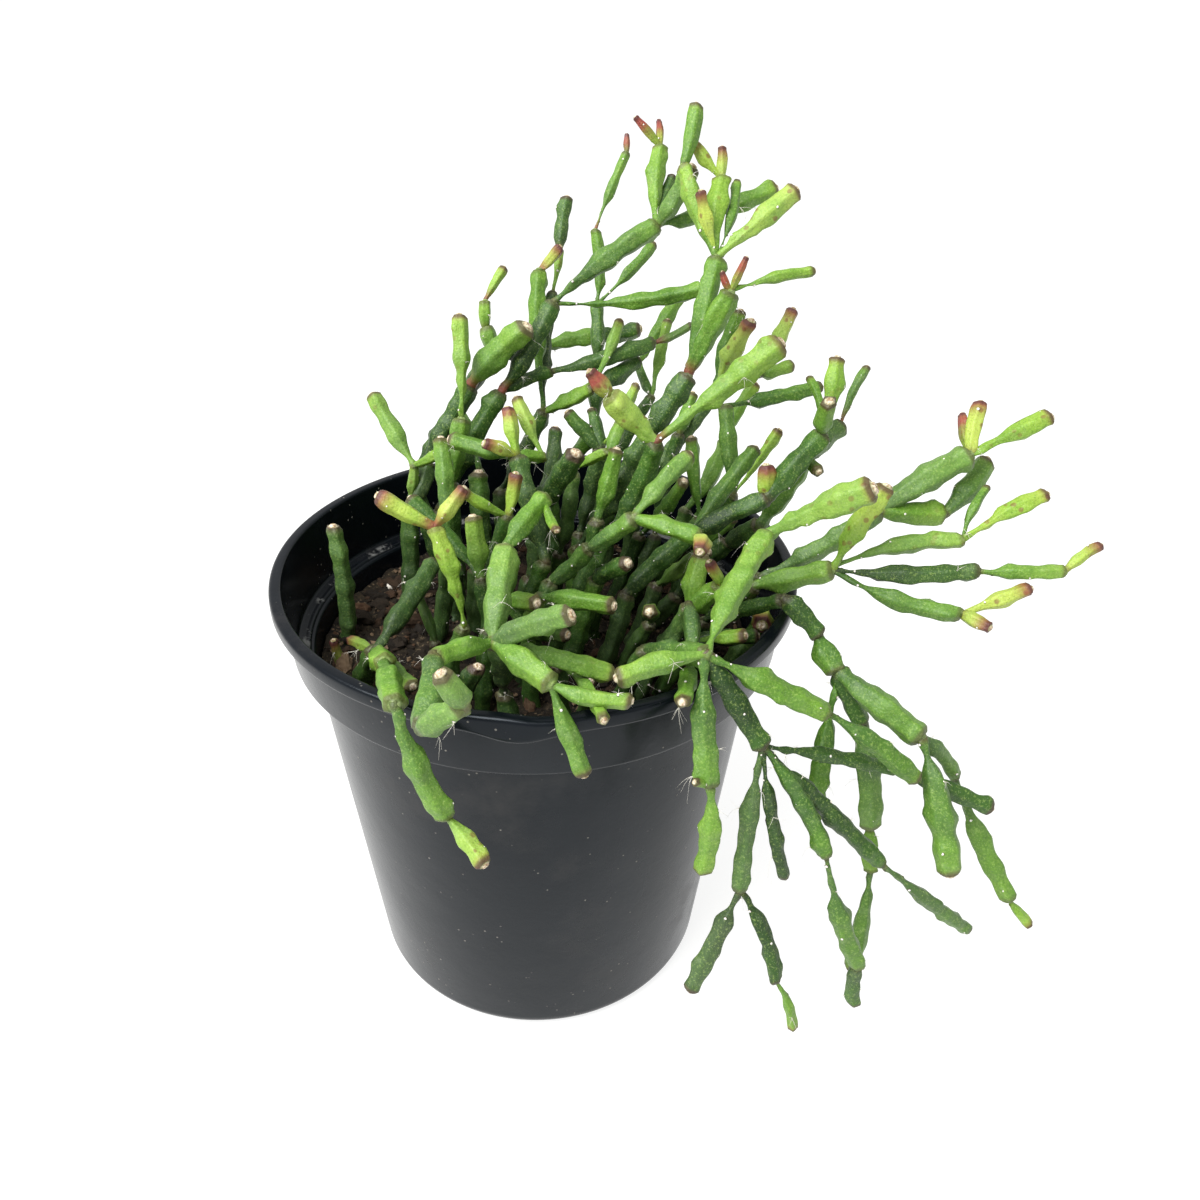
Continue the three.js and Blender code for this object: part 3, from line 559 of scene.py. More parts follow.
class Nodes:
    """A short way to write a node material."""

    def __init__(self, name):
        self.material = bpy.data.materials.new(name)
        self.material.use_nodes = True
        self.tree = self.material.node_tree
        self.shader = self.tree.nodes["Principled BSDF"]

    def add(self, kind, inputs=None, **settings):
        node = self.tree.nodes.new("ShaderNode" + kind)
        for key, value in settings.items():
            setattr(node, key, value)
        for key, value in (inputs or {}).items():
            self.put(node.inputs[key], value)
        return node

    def put(self, socket, value):
        if isinstance(value, bpy.types.NodeSocket):
            self.tree.links.new(value, socket)
        else:
            socket.default_value = value

    def set(self, **inputs):
        for key, value in inputs.items():
            self.put(self.shader.inputs[key.replace("_", " ")], value)

    def attribute(self, name):
        return self.add("Attribute", attribute_name=name).outputs["Fac"]

    def math(self, operation, a, b=0.0, clamp_it=False):
        node = self.add("Math", operation=operation, use_clamp=clamp_it)
        self.put(node.inputs[0], a)
        self.put(node.inputs[1], b)
        return node.outputs[0]

    def times(self, a, b, clamp_it=False):
        return self.math("MULTIPLY", a, b, clamp_it)

    def plus(self, a, b):
        return self.math("ADD", a, b)

    def flip(self, share):
        return self.math("SUBTRACT", 1.0, share)

    def place(self):
        return self.add("TexCoord").outputs["Object"]

    def noise(self, scale, detail=3.0, rough=0.5, vector=None):
        inputs = {"Scale": scale, "Detail": detail, "Roughness": rough}
        inputs["Vector"] = vector or self.place()
        return self.add("TexNoise", inputs).outputs["Fac"]

    def stretched(self, x, y, z):
        scale = self.add("Mapping", {"Vector": self.place(), "Scale": (x, y, z)})
        return scale.outputs["Vector"]

    def ramp(self, fac, stops):
        node = self.add("ValToRGB", {"Fac": fac})
        ramp = node.color_ramp
        ramp.interpolation = "LINEAR"
        while len(ramp.elements) < len(stops):
            ramp.elements.new(0.5)
        for element, (position, colour) in zip(ramp.elements, stops):
            element.position = position
            element.color = (*colour, 1)
        return node.outputs["Color"]

    def step(self, value, low, high):
        """0 below low, 1 above high, and a smooth rise between."""
        inputs = {"Value": value, "From Min": low, "From Max": high}
        node = self.add("MapRange", inputs, interpolation_type="SMOOTHSTEP")
        return node.outputs["Result"]

    def mix(self, fac, a, b):
        node = self.add("Mix", data_type="RGBA")
        self.put(node.inputs["Factor"], fac)
        self.put(node.inputs[6], a if isinstance(a, bpy.types.NodeSocket) else (*a, 1))
        self.put(node.inputs[7], b if isinstance(b, bpy.types.NodeSocket) else (*b, 1))
        return node.outputs[2]

    def bump(self, height, distance, strength=1.0, normal=None):
        inputs = {"Height": height, "Distance": distance, "Strength": strength}
        if normal:
            inputs["Normal"] = normal
        return self.add("Bump", inputs).outputs["Normal"]


def shade(colour):
    """A linear colour from a hex code."""
    parts = [int(colour[i : i + 2], 16) / 255 for i in (0, 2, 4)]
    return tuple(p / 12.92 if p <= 0.04045 else ((p + 0.055) / 1.055) ** 2.4 for p in parts)


def stem_material():
    """Waxy green skin: dark when old, lime when young, with cork tips and red blush."""
    n = Nodes("stem_skin")
    age = n.attribute("age")
    wander = n.times(n.math("SUBTRACT", n.noise(110, 3, 0.6), 0.5), 0.5)
    skin = n.ramp(n.plus(age, wander), [
        (0.0, shade("1f3a10")),
        (0.25, shade("375d19")),
        (0.5, shade("5c8625")),
        (0.75, shade("80a534")),
        (1.0, shade("a6b84b")),
    ])
    mottle = n.noise(1900, 4, 0.7)
    skin = n.mix(n.times(n.step(mottle, 0.52, 0.66), 0.3), skin, shade("adc56a"))
    skin = n.mix(n.times(n.step(mottle, 0.48, 0.34), 0.38), skin, shade("2b4a18"))
    bloom = n.times(n.step(n.noise(300, 4, 0.65), 0.5, 0.78), 0.14)
    bloom = n.plus(bloom, n.times(n.attribute("bloom"), 0.16))
    skin = n.mix(bloom, skin, shade("a4b48a"))
    grain = n.add("TexVoronoi", {"Vector": n.place(), "Scale": 2200.0}).outputs["Distance"]
    fleck = n.flip(n.step(grain, 0.05, 0.2))
    skin = n.mix(n.times(fleck, 0.3), skin, shade("c9d6ae"))
    spots = n.add("TexVoronoi", {"Vector": n.place(), "Scale": 360.0, "Randomness": 1.0})
    spot = n.flip(n.step(spots.outputs["Distance"], 0.15, 0.26))
    young = n.step(age, 0.5, 0.85)
    skin = n.mix(n.times(n.times(spot, young), 0.6), skin, shade("6e2f2a"))
    patchy = n.plus(0.7, n.times(n.noise(500, 3, 0.6), 0.6))
    red = n.times(n.attribute("blush"), patchy, clamp_it=True)
    flush = n.ramp(n.attribute("blush"), [
        (0.2, shade("8a6c30")),
        (0.6, shade("7c4030")),
        (0.95, shade("8e4038")),
    ])
    skin = n.mix(red, skin, flush)
    # painted shade: skin deep in the clump is darkened towards near-black green, standing in for the
    # shadow among the stems
    skin = n.mix(n.times(n.attribute("deep"), 0.62), skin, shade("16290d"))
    skin = n.mix(n.attribute("ring"), skin, shade("47292a"))
    cork = n.mix(n.step(n.noise(1500, 3, 0.6), 0.35, 0.65), shade("e2d4bc"), shade("8f7455"))
    corky = n.attribute("cork")
    colour = n.mix(n.attribute("felt"), n.mix(corky, skin, cork), shade("eeeadd"))
    n.set(Base_Color=colour)
    rough = n.plus(0.4, n.times(n.noise(700, 2), 0.2))
    n.set(Roughness=n.plus(rough, n.times(corky, 0.35)))
    n.set(Specular_IOR_Level=0.4, Subsurface_Weight=0.1, Subsurface_Scale=0.0014)
    n.set(Subsurface_Radius=(0.6, 1.0, 0.25))
    pores = n.bump(grain, 0.00014, 0.5)
    n.set(Normal=n.bump(n.noise(420, 5, 0.65), 0.0006, 0.45, pores))
    return n.material


def bristle_material():
    n = Nodes("silky_bristle")
    n.set(Base_Color=n.mix(n.noise(800), shade("f4f1e8"), shade("d9d2c0")), Roughness=0.35)
    return n.material


def pot_material(seam_z):
    """Thin moulded plastic: near black, glossy, dusty, and worn along the collar's seam."""
    n = Nodes("pot_plastic")
    base = n.mix(n.noise(35, 4, 0.6), shade("05080c"), shade("0a0e14"))
    flow = n.step(n.noise(60, 3, 0.6, n.stretched(1, 1, 0.08)), 0.5, 0.75)
    base = n.mix(n.times(flow, 0.3), base, shade("181c21"))
    film = n.step(n.noise(24, 6, 0.7), 0.52, 0.8)
    base = n.mix(n.times(film, 0.12), base, shade("77706a"))
    height = n.add("SeparateXYZ", {"Vector": n.place()}).outputs["Z"]
    wobble = n.times(n.math("SUBTRACT", n.noise(60, 2), 0.5), 0.0012)
    off_seam = n.math("ABSOLUTE", n.math("SUBTRACT", n.plus(height, wobble), seam_z))
    worn = n.flip(n.step(off_seam, 0.0001, 0.0005))
    worn = n.times(worn, n.step(n.noise(130, 4, 0.7), 0.5, 0.6))
    base = n.mix(n.times(worn, 0.5), base, shade("9a9a98"))
    grains = n.add("TexVoronoi", {"Vector": n.place(), "Scale": 420.0}).outputs["Distance"]
    speck = n.flip(n.step(grains, 0.04, 0.13))
    speck = n.times(speck, n.step(n.noise(90, 3), 0.48, 0.62))
    base = n.mix(n.times(speck, 0.5), base, shade("b3ada2"))
    n.set(Base_Color=base)
    rough = n.plus(0.24, n.times(film, 0.2))
    rough = n.plus(rough, n.times(flow, 0.05))
    n.set(Roughness=n.plus(rough, n.times(speck, 0.4)))
    n.set(Specular_IOR_Level=0.22, Specular_Tint=(0.84, 0.93, 1, 1))
    soft = n.bump(n.noise(30, 3, 0.5), 0.0012, 0.3)
    n.set(Normal=n.bump(n.noise(700, 3), 0.00006, 0.4, soft))
    return n.material


def soil_material():
    """Moist potting mix: dark peat fibres with brown bark."""
    n = Nodes("potting_mix")
    clump = n.noise(210, 7, 0.75)
    colour = n.ramp(clump, [
        (0.25, shade("0f0c09")),
        (0.45, shade("201a14")),
        (0.62, shade("383023")),
        (0.8, shade("5c4c3a")),
    ])
    n.set(Base_Color=n.mix(n.step(n.noise(1300, 4), 0.56, 0.72), colour, shade("75654e")))
    n.set(Roughness=0.9, Specular_IOR_Level=0.25)
    n.set(Normal=n.bump(n.noise(620, 8, 0.8), 0.0015, 0.95))
    return n.material


def crumb_material():
    """Bark and peat crumbs: each has a tone of its own."""
    n = Nodes("bark_crumb")
    tone = n.attribute("tone")
    colour = n.ramp(n.plus(tone, n.times(n.noise(900, 4), 0.3)), [
        (0.1, shade("15110d")),
        (0.5, shade("2c241b")),
        (0.85, shade("4b3626")),
        (1.0, shade("7a6650")),
    ])
    n.set(Base_Color=colour, Roughness=0.88, Specular_IOR_Level=0.25)
    n.set(Normal=n.bump(n.noise(1400, 7, 0.8), 0.0008, 0.9))
    return n.material


def perlite_material():
    n = Nodes("perlite_grain")
    n.set(Base_Color=n.mix(n.noise(1100, 5), shade("efece4"), shade("b9ab98")), Roughness=0.85)
    n.set(Normal=n.bump(n.noise(1800, 5), 0.0004, 0.7))
    return n.material


def floor_material():
    """White table, so brightly lit that it has no shadow but the pot's own."""
    n = Nodes("studio_floor")
    n.set(Base_Color=(0.33, 0.33, 0.32, 1), Roughness=0.8, Specular_IOR_Level=0.1)
    n.set(Emission_Color=(1, 1, 1, 1), Emission_Strength=0.8)
    return n.material


# ---------------------------------------------------------------- mesh helpers


class Shape:
    """Points and faces gathered for one mesh, with named values on the points."""

    def __init__(self, *names):
        self.points = []
        self.faces = []
        self.values = {name: [] for name in names}

    def rings(self, rings, **values):
        """Adds a closed skin over rings of points; each value is a list with one per ring."""
        first = len(self.points)
        sides = len(rings[0])
        for ring in rings:
            self.points.extend(ring)
        for name, store in self.values.items():
            per_ring = values.get(name, [0.0] * len(rings))
            for value in per_ring:
                store.extend(value if isinstance(value, (list, np.ndarray)) else [value] * sides)
        for r in range(len(rings) - 1):
            low = first + r * sides
            for i in range(sides):
                j = (i + 1) % sides
                self.faces.append((low + i, low + j, low + sides + j, low + sides + i))
        self.faces.append(tuple(first + i for i in reversed(range(sides))))
        last = first + (len(rings) - 1) * sides
        self.faces.append(tuple(last + i for i in range(sides)))

    def solid(self, points, faces, **values):
        """Adds a ready solid; each value is one number for all its points."""
        first = len(self.points)
        self.points.extend(points)
        self.faces.extend(tuple(first + i for i in face) for face in faces)
        for name, store in self.values.items():
            store.extend([values.get(name, 0.0)] * len(points))

    def finish(self, name, material, smooth=True):
        mesh = bpy.data.meshes.new(name)
        mesh.from_pydata([tuple(p) for p in self.points], [], self.faces)
        for key, store in self.values.items():
            attribute = mesh.attributes.new(key, "FLOAT", "POINT")
            attribute.data.foreach_set("value", store)
        mesh.shade_smooth() if smooth else mesh.shade_flat()
        mesh.materials.append(material)
        piece = bpy.data.objects.new(name, mesh)
        bpy.context.collection.objects.link(piece)
        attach(piece, "root")
        return piece


def smooth_step(low, high, value):
    share = np.clip((value - low) / (high - low), 0.0, 1.0)
    return share * share * (3 - 2 * share)


def cross_frame(along):
    """Two directions square to a direction."""
    side = Vector((0, 0, 1)).cross(along)
    if side.length < 0.2:
        side = Vector((1, 0, 0))
    side.normalize()
    side = (side - along * side.dot(along)).normalized()
    return side, along.cross(side)


def unit_icosphere(subdivisions):
    """Points and faces of a small round solid."""
    ball = bmesh.new()
    bmesh.ops.create_icosphere(ball, subdivisions=subdivisions, radius=1)
    points = [v.co.copy() for v in ball.verts]
    faces = [tuple(v.index for v in f.verts) for f in ball.faces]
    ball.free()
    return points, faces


# ---------------------------------------------------------------- stems

SIDES = 24
OVERLAP = 1.0  # a segment starts this far inside the one it grows from, in mm
RIBS = 5
AREOLE_GAP = 3.7  # mm along a segment
BEND = 0.055  # how far a segment bows, as a share of its length
AREOLE_TURN = math.radians(144)  # from one areole to the next: two ribs on

# Shape and colour of a segment by its age: the neck's width, where it starts and stops
# to swell, how much the tip thins, the ribs, the colour, and how red or brown the tip is.
AGES = {
    "old": {"neck": 0.58, "swell": (0.02, 0.3), "thin": 0.06, "rib": 0.07, "tone": 0.16, "red": 0.0},
    "mid": {"neck": 0.46, "swell": (0.05, 0.44), "thin": 0.08, "rib": 0.08, "tone": 0.46, "red": 0.15},
    "pale": {"neck": 0.6, "swell": (0.02, 0.3), "thin": 0.05, "rib": 0.09, "tone": 0.36, "red": 0.0},
    "fresh": {"neck": 0.4, "swell": (0.12, 0.62), "thin": 0.07, "rib": 0.09, "tone": 0.68, "red": 0.5},
    "young": {"neck": 0.46, "swell": (0.06, 0.5), "thin": 0.14, "rib": 0.1, "tone": 0.92, "red": 0.9},
    "bud": {"neck": 0.6, "swell": (0.02, 0.5), "thin": 0.25, "rib": 0.14, "tone": 0.8, "red": 0.95},
}

# Segments that start with a red neck.
RED_NECKS = {
    "rear_arch": "co", "rear_right": "f", "rear_left": "d", "rear_centre": "d", "back_left": "e",
    "left_fork": "cd", "tall_centre": "dm", "upper_right": "f", "centre_fork": "c",
}


def segment_shape(segment, rng, length):
    """Shares along a segment, and its radius there before ribs and areoles, in mm."""
    look = AGES[segment.age]
    slender = min(max(length / segment.radius / 10 - 0.7, 0), 1)
    neck = 0.9 if segment.start.root else look["neck"] * (1 - 0.45 * slender)
    neck_shares = np.linspace(0, 0.12, 4)[:-1]
    middle = np.linspace(0.12, 0.9, max(int(length / 1.0), 8))
    end = 1 - 0.1 * np.cos(np.linspace(0, math.pi / 2, 7))
    along = np.concatenate([neck_shares, middle[:-1], end])
    swell_from, swell_to = look["swell"]
    swell_to *= rng.uniform(0.85, 1.2)
    radius = neck + (1 - neck) * smooth_step(swell_from + 0.2 * slender, swell_to + 0.1 * slender, along)
    radius *= 1 - look["thin"] * smooth_step(0.6, 1.0, along)
    inner = smooth_step(0, 0.15, along) * (1 - smooth_step(0.9, 1, along))
    for wave_length, height in ((9, 0.08), (4.6, 0.05)):
        waves = length / wave_length * rng.uniform(0.8, 1.2)
        radius += inner * height * np.sin(2 * math.pi * waves * along + rng.uniform(0, 6.3))
    blunt = min(0.35 * segment.radius / length, 0.1)
    from_tip = np.clip((1 - along) / blunt, 0, 1)
    radius *= 0.74 + 0.26 * np.sqrt(1 - (1 - from_tip) ** 2)
    if not segment.start.root:
        radius += 0.07 * np.exp(-(((along * length - OVERLAP - 0.4) / 0.5) ** 2))
    return along, radius * segment.radius


def areole_places(segment, rng, length, first_rib):
    """Areoles climb the ribs in a spiral: share along, angle and how far the skin swells."""
    count = max(int(length / AREOLE_GAP), 1)
    places = []
    for i in range(count):
        share = (i + 0.7) / (count + 0.3) + rng.uniform(-0.04, 0.04)
        angle = first_rib + i * AREOLE_TURN + rng.uniform(-0.12, 0.12)
        places.append((min(share, 0.93), angle, segment.radius * rng.uniform(0.14, 0.36)))
    return places


class Grower:
    """Lofts one segment with its corky tip and areoles into a stem's mesh."""

    def __init__(self, shape, segment, rng):
        self.shape = shape
        self.segment = segment
        self.rng = rng
        self.look = AGES[segment.age]
        run = segment.end.at - segment.start.at
        self.axis = run.normalized()
        overlap = 0 if segment.start.root else OVERLAP
        self.start = segment.start.at - self.axis * overlap
        self.run = segment.end.at - self.start
        self.length = self.run.length
        self.side, self.up = cross_frame(self.axis)
        across = self.side * rng.uniform(-1, 1) + self.up * rng.uniform(-1, 1)
        self.bend = across * (self.length * BEND)
        self.along, self.radius = segment_shape(segment, rng, self.length)
        self.first_rib = rng.uniform(0, 6.3)
        self.areoles = areole_places(segment, rng, self.length, self.first_rib)
        self.bare_tip = segment.end.grows == 0
        self.tone = self.look["tone"] + rng.uniform(-0.15, 0.13)
        self.bloom = 0.7 if segment.age == "pale" else rng.choice((0, 0, 0.2, 0.5))

    def middle(self, share):
        return self.start + self.run * share + self.bend * (4 * share * (1 - share))

    def around(self, middle, turns, radii):
        return [
            (middle + self.side * (r * math.cos(a)) + self.up * (r * math.sin(a))) * MM
            for a, r in zip(turns, radii)
        ]

    def skin(self):
        """The segment's skin, closed at its tip by the pad of cork."""
        rng = self.rng
        turns = np.linspace(0, 2 * math.pi, SIDES, endpoint=False)
        on_rib = turns - self.first_rib
        sharp = np.cos(RIBS * on_rib) + 0.3 * np.cos(2 * RIBS * on_rib)
        flat_turn, flat = rng.uniform(0, 6.3), rng.uniform(0, 0.1)
        red_neck = 0.35 if self.look["red"] > 0.5 else rng.choice((0, 0, 0.2))
        if self.segment.key and self.segment.key in RED_NECKS.get(self.segment.stem, ""):
            red_neck = 0.85
        neck_reach = 1.4 + 5 * red_neck
        red_reach = 4.5 if self.look["red"] > 0.5 else 2.2
        rings, tones, reds, darks, corks, crown_shades = [], [], [], [], [], []
        for share, r in zip(self.along, self.radius):
            # painted shade inside the clump, one amount per ring
            crown_shades.append(self.crown_shade_depth(self.middle(share)))
            ribbed = 1 + self.look["rib"] * sharp * smooth_step(0, 0.3, share)
            radii = r * ribbed * (1 + flat * np.cos(2 * (turns - flat_turn)))
            for place, angle, size in self.areoles:
                near = math.exp(-(((share - place) * self.length / 1.25) ** 2))
                off = np.angle(np.exp(1j * (turns - angle)))
                radii = radii + size * near * np.exp(-((off / 0.52) ** 2))
            rings.append(self.around(self.middle(share), turns, radii))
            to_tip = (1 - share) * self.length
            tip_red = self.look["red"] * smooth_step(red_reach, 0.3, to_tip) * self.bare_tip
            base_red = red_neck * smooth_step(neck_reach, 1.2, share * self.length)
            whole_red = 0.55 * smooth_step(0.1, 0.6, share) * (self.segment.age == "bud")
            tones.append(self.tone + 0.22 * (share - 0.5))
            reds.append(min(tip_red + base_red + whole_red, 0.95))
            dark_neck = 0.45 * smooth_step(1.9, 1.2, share * self.length)
            if self.segment.start.root:
                dark_neck = 0.0
            dark_tip = (0.8 if self.bare_tip else 0.6) * smooth_step(1.3, 0.4, to_tip)
            darks.append(max(dark_tip, dark_neck))
            corks.append(0.0)
        pad = ((0.97, 0.02, 0), (0.68, 0.05, 0.7), (0.6, 0.2, 1), (0.38, 0.28, 1), (0.12, 0.22, 1))
        for shrink, rise, corky in pad:
            uneven = [
                1 + 0.3 * corky * noise.noise(Vector((math.cos(a), math.sin(a), flat_turn)) * 1.5)
                for a in turns
            ]
            radii = self.radius[-1] * shrink * np.array(uneven)
            middle = self.segment.end.at + self.axis * (rise * self.segment.radius)
            rings.append(self.around(middle, turns, radii))
            tones.append(self.tone)
            reds.append(0.0)
            darks.append((0.85 if self.bare_tip else 0.5) * (1 - corky))
            corks.append(corky * (1.0 if self.bare_tip else 0.2))
            crown_shades.append(crown_shades[-1])
        blooms = [self.bloom] * len(rings)
        self.shape.rings(
            rings, age=tones, blush=reds, ring=darks, cork=corks, bloom=blooms, deep=crown_shades
        )

    @staticmethod
    def crown_shade_depth(point):
        """How deep a point is in the clump, where painted shade darkens the skin."""
        inside = smooth_step(52, 40, math.hypot(point.x, point.y))
        return inside * smooth_step(132, 96, point.z)

    def felt(self, place, angle, size):
        """One areole: a tiny cushion of white felt in a dark ring. Returns where it sits."""
        out = self.side * math.cos(angle) + self.up * math.sin(angle)
        reach = float(np.interp(place, self.along, self.radius)) + size
        at = self.middle(place) + out * (reach - 0.12)
        side, up = cross_frame(out)
        size = self.rng.uniform(0.17, 0.33)
        turns = np.linspace(0, 2 * math.pi, 8, endpoint=False)
        rings = []
        for spread, rise in ((1.3, -0.1), (1.0, 0.12), (0.85, 0.4), (0.45, 0.6)):
            middle = at + out * (size * rise)
            rings.append([
                (middle + (side * math.cos(a) + up * math.sin(a)) * (size * spread)) * MM
                for a in turns
            ])
        tones = [self.tone] * 4
        self.shape.rings(rings, age=tones, ring=[0.9, 0.7, 0, 0], felt=[0, 0.1, 1, 1])
        return at + out * 0.1, out


def add_bristle(shape, at, out, rng, length):
    """One fine hair: a thin tapering tube with a bend."""
    side, up = cross_frame(out)
    lean = side * rng.uniform(-1.6, 1.6) + up * rng.uniform(-1.6, 1.6)
    rings = []
    for share in np.linspace(0, 1, 5):
        sag = Vector((0, 0, -0.3 * share * length))
        middle = at + (out + lean * share + sag * share) * (length * share / 1.6)
        thick = 0.05 * (1 - 0.6 * share)
        rings.append([
            (middle + side * (thick * math.cos(a)) + up * (thick * math.sin(a))) * MM
            for a in np.radians((0, 120, 240))
        ])
    shape.rings(rings)


# Share of the areoles that carry hairs, on the hairy stems and on the others.
HAIRY = {"left_crown": 0.8, "left_sprig": 0.8, "right_star": 0.22, "front_star": 0.3}
HAIRY_OTHERS = 0.1


def make_stems(segments):
    """Each rooted stem is one piece, with all its segments, and stands for its CAD node."""
    skin = stem_material()
    bristles = Shape()
    for name in STEMS:
        shape = Shape("age", "blush", "ring", "cork", "bloom", "felt", "deep")
        for number, segment in enumerate(s for s in segments if s.stem == name):
            rng = random.Random(f"{name} {number}")
            grower = Grower(shape, segment, rng)
            grower.skin()
            for place, angle, size in grower.areoles:
                at, out = grower.felt(place, angle, size)
                if rng.random() < HAIRY.get(name, HAIRY_OTHERS):
                    for _ in range(rng.randint(2, 5)):
                        add_bristle(bristles, at, out, rng, rng.uniform(1.2, 3.4))
        piece = shape.finish(f"{name}_stem", skin)
        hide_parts(f"stem_{name}")
    bristles.finish("stem_bristles", bristle_material())


# ---------------------------------------------------------------- pot

POT_SIDES = 192
WALL = 0.9 * MM
FLOOR = 1.4 * MM
CORNER = 4 * MM
COLLAR_DROP = 16.5 * MM
LIP_WIDTH = 2.7 * MM
LIP_DROP = 3.6 * MM
DRAIN_COUNT = 8
DRAIN_RADIUS = 4 * MM
DRAIN_RING = 31 * MM
DRAIN_SIDES = 24
COLLAR_TOP_IN = 2.1 * MM  # how far the wall stands in from the rim, at four heights
COLLAR_FOOT_IN = 3.3 * MM
STEP_IN = 7.3 * MM
FOOT_IN = 16.3 * MM
TURN = 0.9 * MM  # radius of the small bends
CREASE = math.radians(35)  # edges sharper than this stay sharp


def arc(middle, radius, start, end, steps):
    """Points (r, z) of an arc, with angles in degrees from +r."""
    return [
        (
            middle[0] + radius * math.cos(math.radians(start + (end - start) * i / steps)),
            middle[1] + radius * math.sin(math.radians(start + (end - start) * i / steps)),
        )
        for i in range(steps + 1)
    ]


def pot_profile(rim_radius, height):
    """The wall's closed outline, up the outside and down the inside."""
    collar_top = rim_radius - COLLAR_TOP_IN
    collar_foot = rim_radius - COLLAR_FOOT_IN
    step_radius = rim_radius - STEP_IN
    foot_radius = rim_radius - FOOT_IN
    step_z = height - COLLAR_DROP
    lean = (step_radius - foot_radius) / step_z
    turn = TURN
    outside = [(foot_radius - CORNER - 9 * MM, 0.0), (foot_radius - CORNER - 8 * MM, 0.0)]
    outside += arc((foot_radius - CORNER + lean * CORNER, CORNER), CORNER, -90, 0, 8)
    for i in range(1, 12):
        z = CORNER + (step_z - 2 * MM - CORNER) * i / 11
        outside.append((foot_radius + lean * z, z))
    outside += arc((step_radius + turn, step_z - turn), turn, 180, 90, 4)
    outside += arc((collar_foot - turn, step_z + turn * 1.2), turn, -90, 0, 4)
    outside += [(collar_top, height - LIP_DROP - 0.4 * MM)]
    outside += arc((rim_radius - turn, height - LIP_DROP + turn), turn, -90, 0, 4)
    outside += arc((rim_radius - turn, height - turn), turn, 0, 90, 5)
    inner = rim_radius - LIP_WIDTH
    inside = arc((inner + turn * 0.7, height - turn * 0.7), turn * 0.7, 90, 180, 4)
    inside += [(collar_top - WALL - 0.2 * MM, height - 6 * MM), (collar_foot - WALL, step_z + 3 * MM)]
    inside += arc((collar_foot - WALL - turn, step_z + 1.5 * turn), turn, 0, -90, 4)
    inside += arc((step_radius - WALL + turn, step_z - 0.6 * MM - turn), turn, 90, 180, 4)
    for i in range(1, 8):
        z = step_z - 3 * MM - (step_z - 3 * MM - CORNER) * i / 8
        inside.append((foot_radius + lean * z - WALL, z))
    inside += arc((foot_radius - CORNER, CORNER), CORNER - WALL, 0, -90, 6)[:-1]
    inside += [(foot_radius - CORNER - 8 * MM, FLOOR), (foot_radius - CORNER - 9 * MM, FLOOR)]
    return outside, inside


def warp(angle, z, height):
    """How far the thin lip strays from round, and how far it droops where it is dented."""
    near_top = max(0.0, 1 - (height - z) / (7 * MM))
    front = angle + math.pi / 2 + 0.08
    slow = 0.25 * math.sin(3 * angle + 1.1) + 0.12 * math.sin(7 * angle)
    ripple = 0.5 * math.sin(14 * front) * math.exp(-((front / 0.25) ** 2))
    lip_edge = math.exp(-(((z - height + LIP_DROP) / (1.6 * MM)) ** 2))
    dent = math.exp(-((front / 0.11) ** 2)) * lip_edge
    outward = near_top * (slow * 0.5 + ripple) + 0.6 * dent
    down = near_top * max(ripple, 0) + 1.7 * dent
    return outward * MM, down * MM


def make_pot():
    """A finer pot with the model's sizes, with its drain holes cut through the floor."""
    low, high = (Vector(c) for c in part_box("nursery_pot"))
    rim_radius = (high.x - low.x) / 2
    outside, inside = pot_profile(rim_radius, high.z)
    rings = []
    for r, z in outside + inside:
        ring = []
        for i in range(POT_SIDES):
            angle = 2 * math.pi * i / POT_SIDES - math.pi
            outward, down = warp(angle, z, high.z)
            out = r + outward
            ring.append((out * math.cos(angle), out * math.sin(angle), z - down))
        rings.append(ring)
    shape = Shape()
    shape.rings(rings)
    pot = shape.finish("pot", pot_material(high.z - COLLAR_DROP))
    cut_drains(pot)
    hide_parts("nursery_pot")


def cut_drains(pot):
    holes = Shape()
    for i in range(DRAIN_COUNT):
        turn = 2 * math.pi * i / DRAIN_COUNT
        x, y = DRAIN_RING * math.cos(turn), DRAIN_RING * math.sin(turn)
        rings = [
            [
                (x + DRAIN_RADIUS * math.cos(a), y + DRAIN_RADIUS * math.sin(a), z)
                for a in np.linspace(0, 2 * math.pi, DRAIN_SIDES, endpoint=False)
            ]
            for z in (-3 * MM, 4 * MM)
        ]
        holes.rings(rings)
    mesh = bpy.data.meshes.new("drains")
    mesh.from_pydata([tuple(p) for p in holes.points], [], holes.faces)
    cutter = bpy.data.objects.new("drains", mesh)
    bpy.context.collection.objects.link(cutter)
    cut = pot.modifiers.new("drains", "BOOLEAN")
    cut.operation = "DIFFERENCE"
    cut.solver = "EXACT"
    cut.object = cutter
    bpy.context.view_layer.update()
    done = bpy.data.meshes.new_from_object(pot.evaluated_get(bpy.context.evaluated_depsgraph_get()))
    pot.modifiers.clear()
    pot.data = done
    bpy.data.objects.remove(cutter)
    done.shade_smooth()
    done.set_sharp_from_angle(angle=CREASE)


# ---------------------------------------------------------------- soil

SOIL_SIDES = 200
SOIL_RINGS = 62
CRUMBS = 1900
PERLITE = 26
LUMP = 1.1 * MM  # how far the coarse lumps rise and fall
CRUMB_SEED = 11


def soil_height(x, y, top):
    """The model's lumpy surface with finer lumps on it, in metres."""
    coarse = math.sin(x / (6.1 * MM) + 0.7) * math.cos(y / (7.3 * MM) - 0.4)
    fine = math.sin(x / (2.9 * MM) - y / (3.7 * MM))
    rough = noise.fractal(Vector((x, y, 0)) / (5 * MM), 0.9, 2.1, 5)
    return top + (1.1 * (0.7 * coarse + 0.3 * fine) + 1.3 * rough) * MM


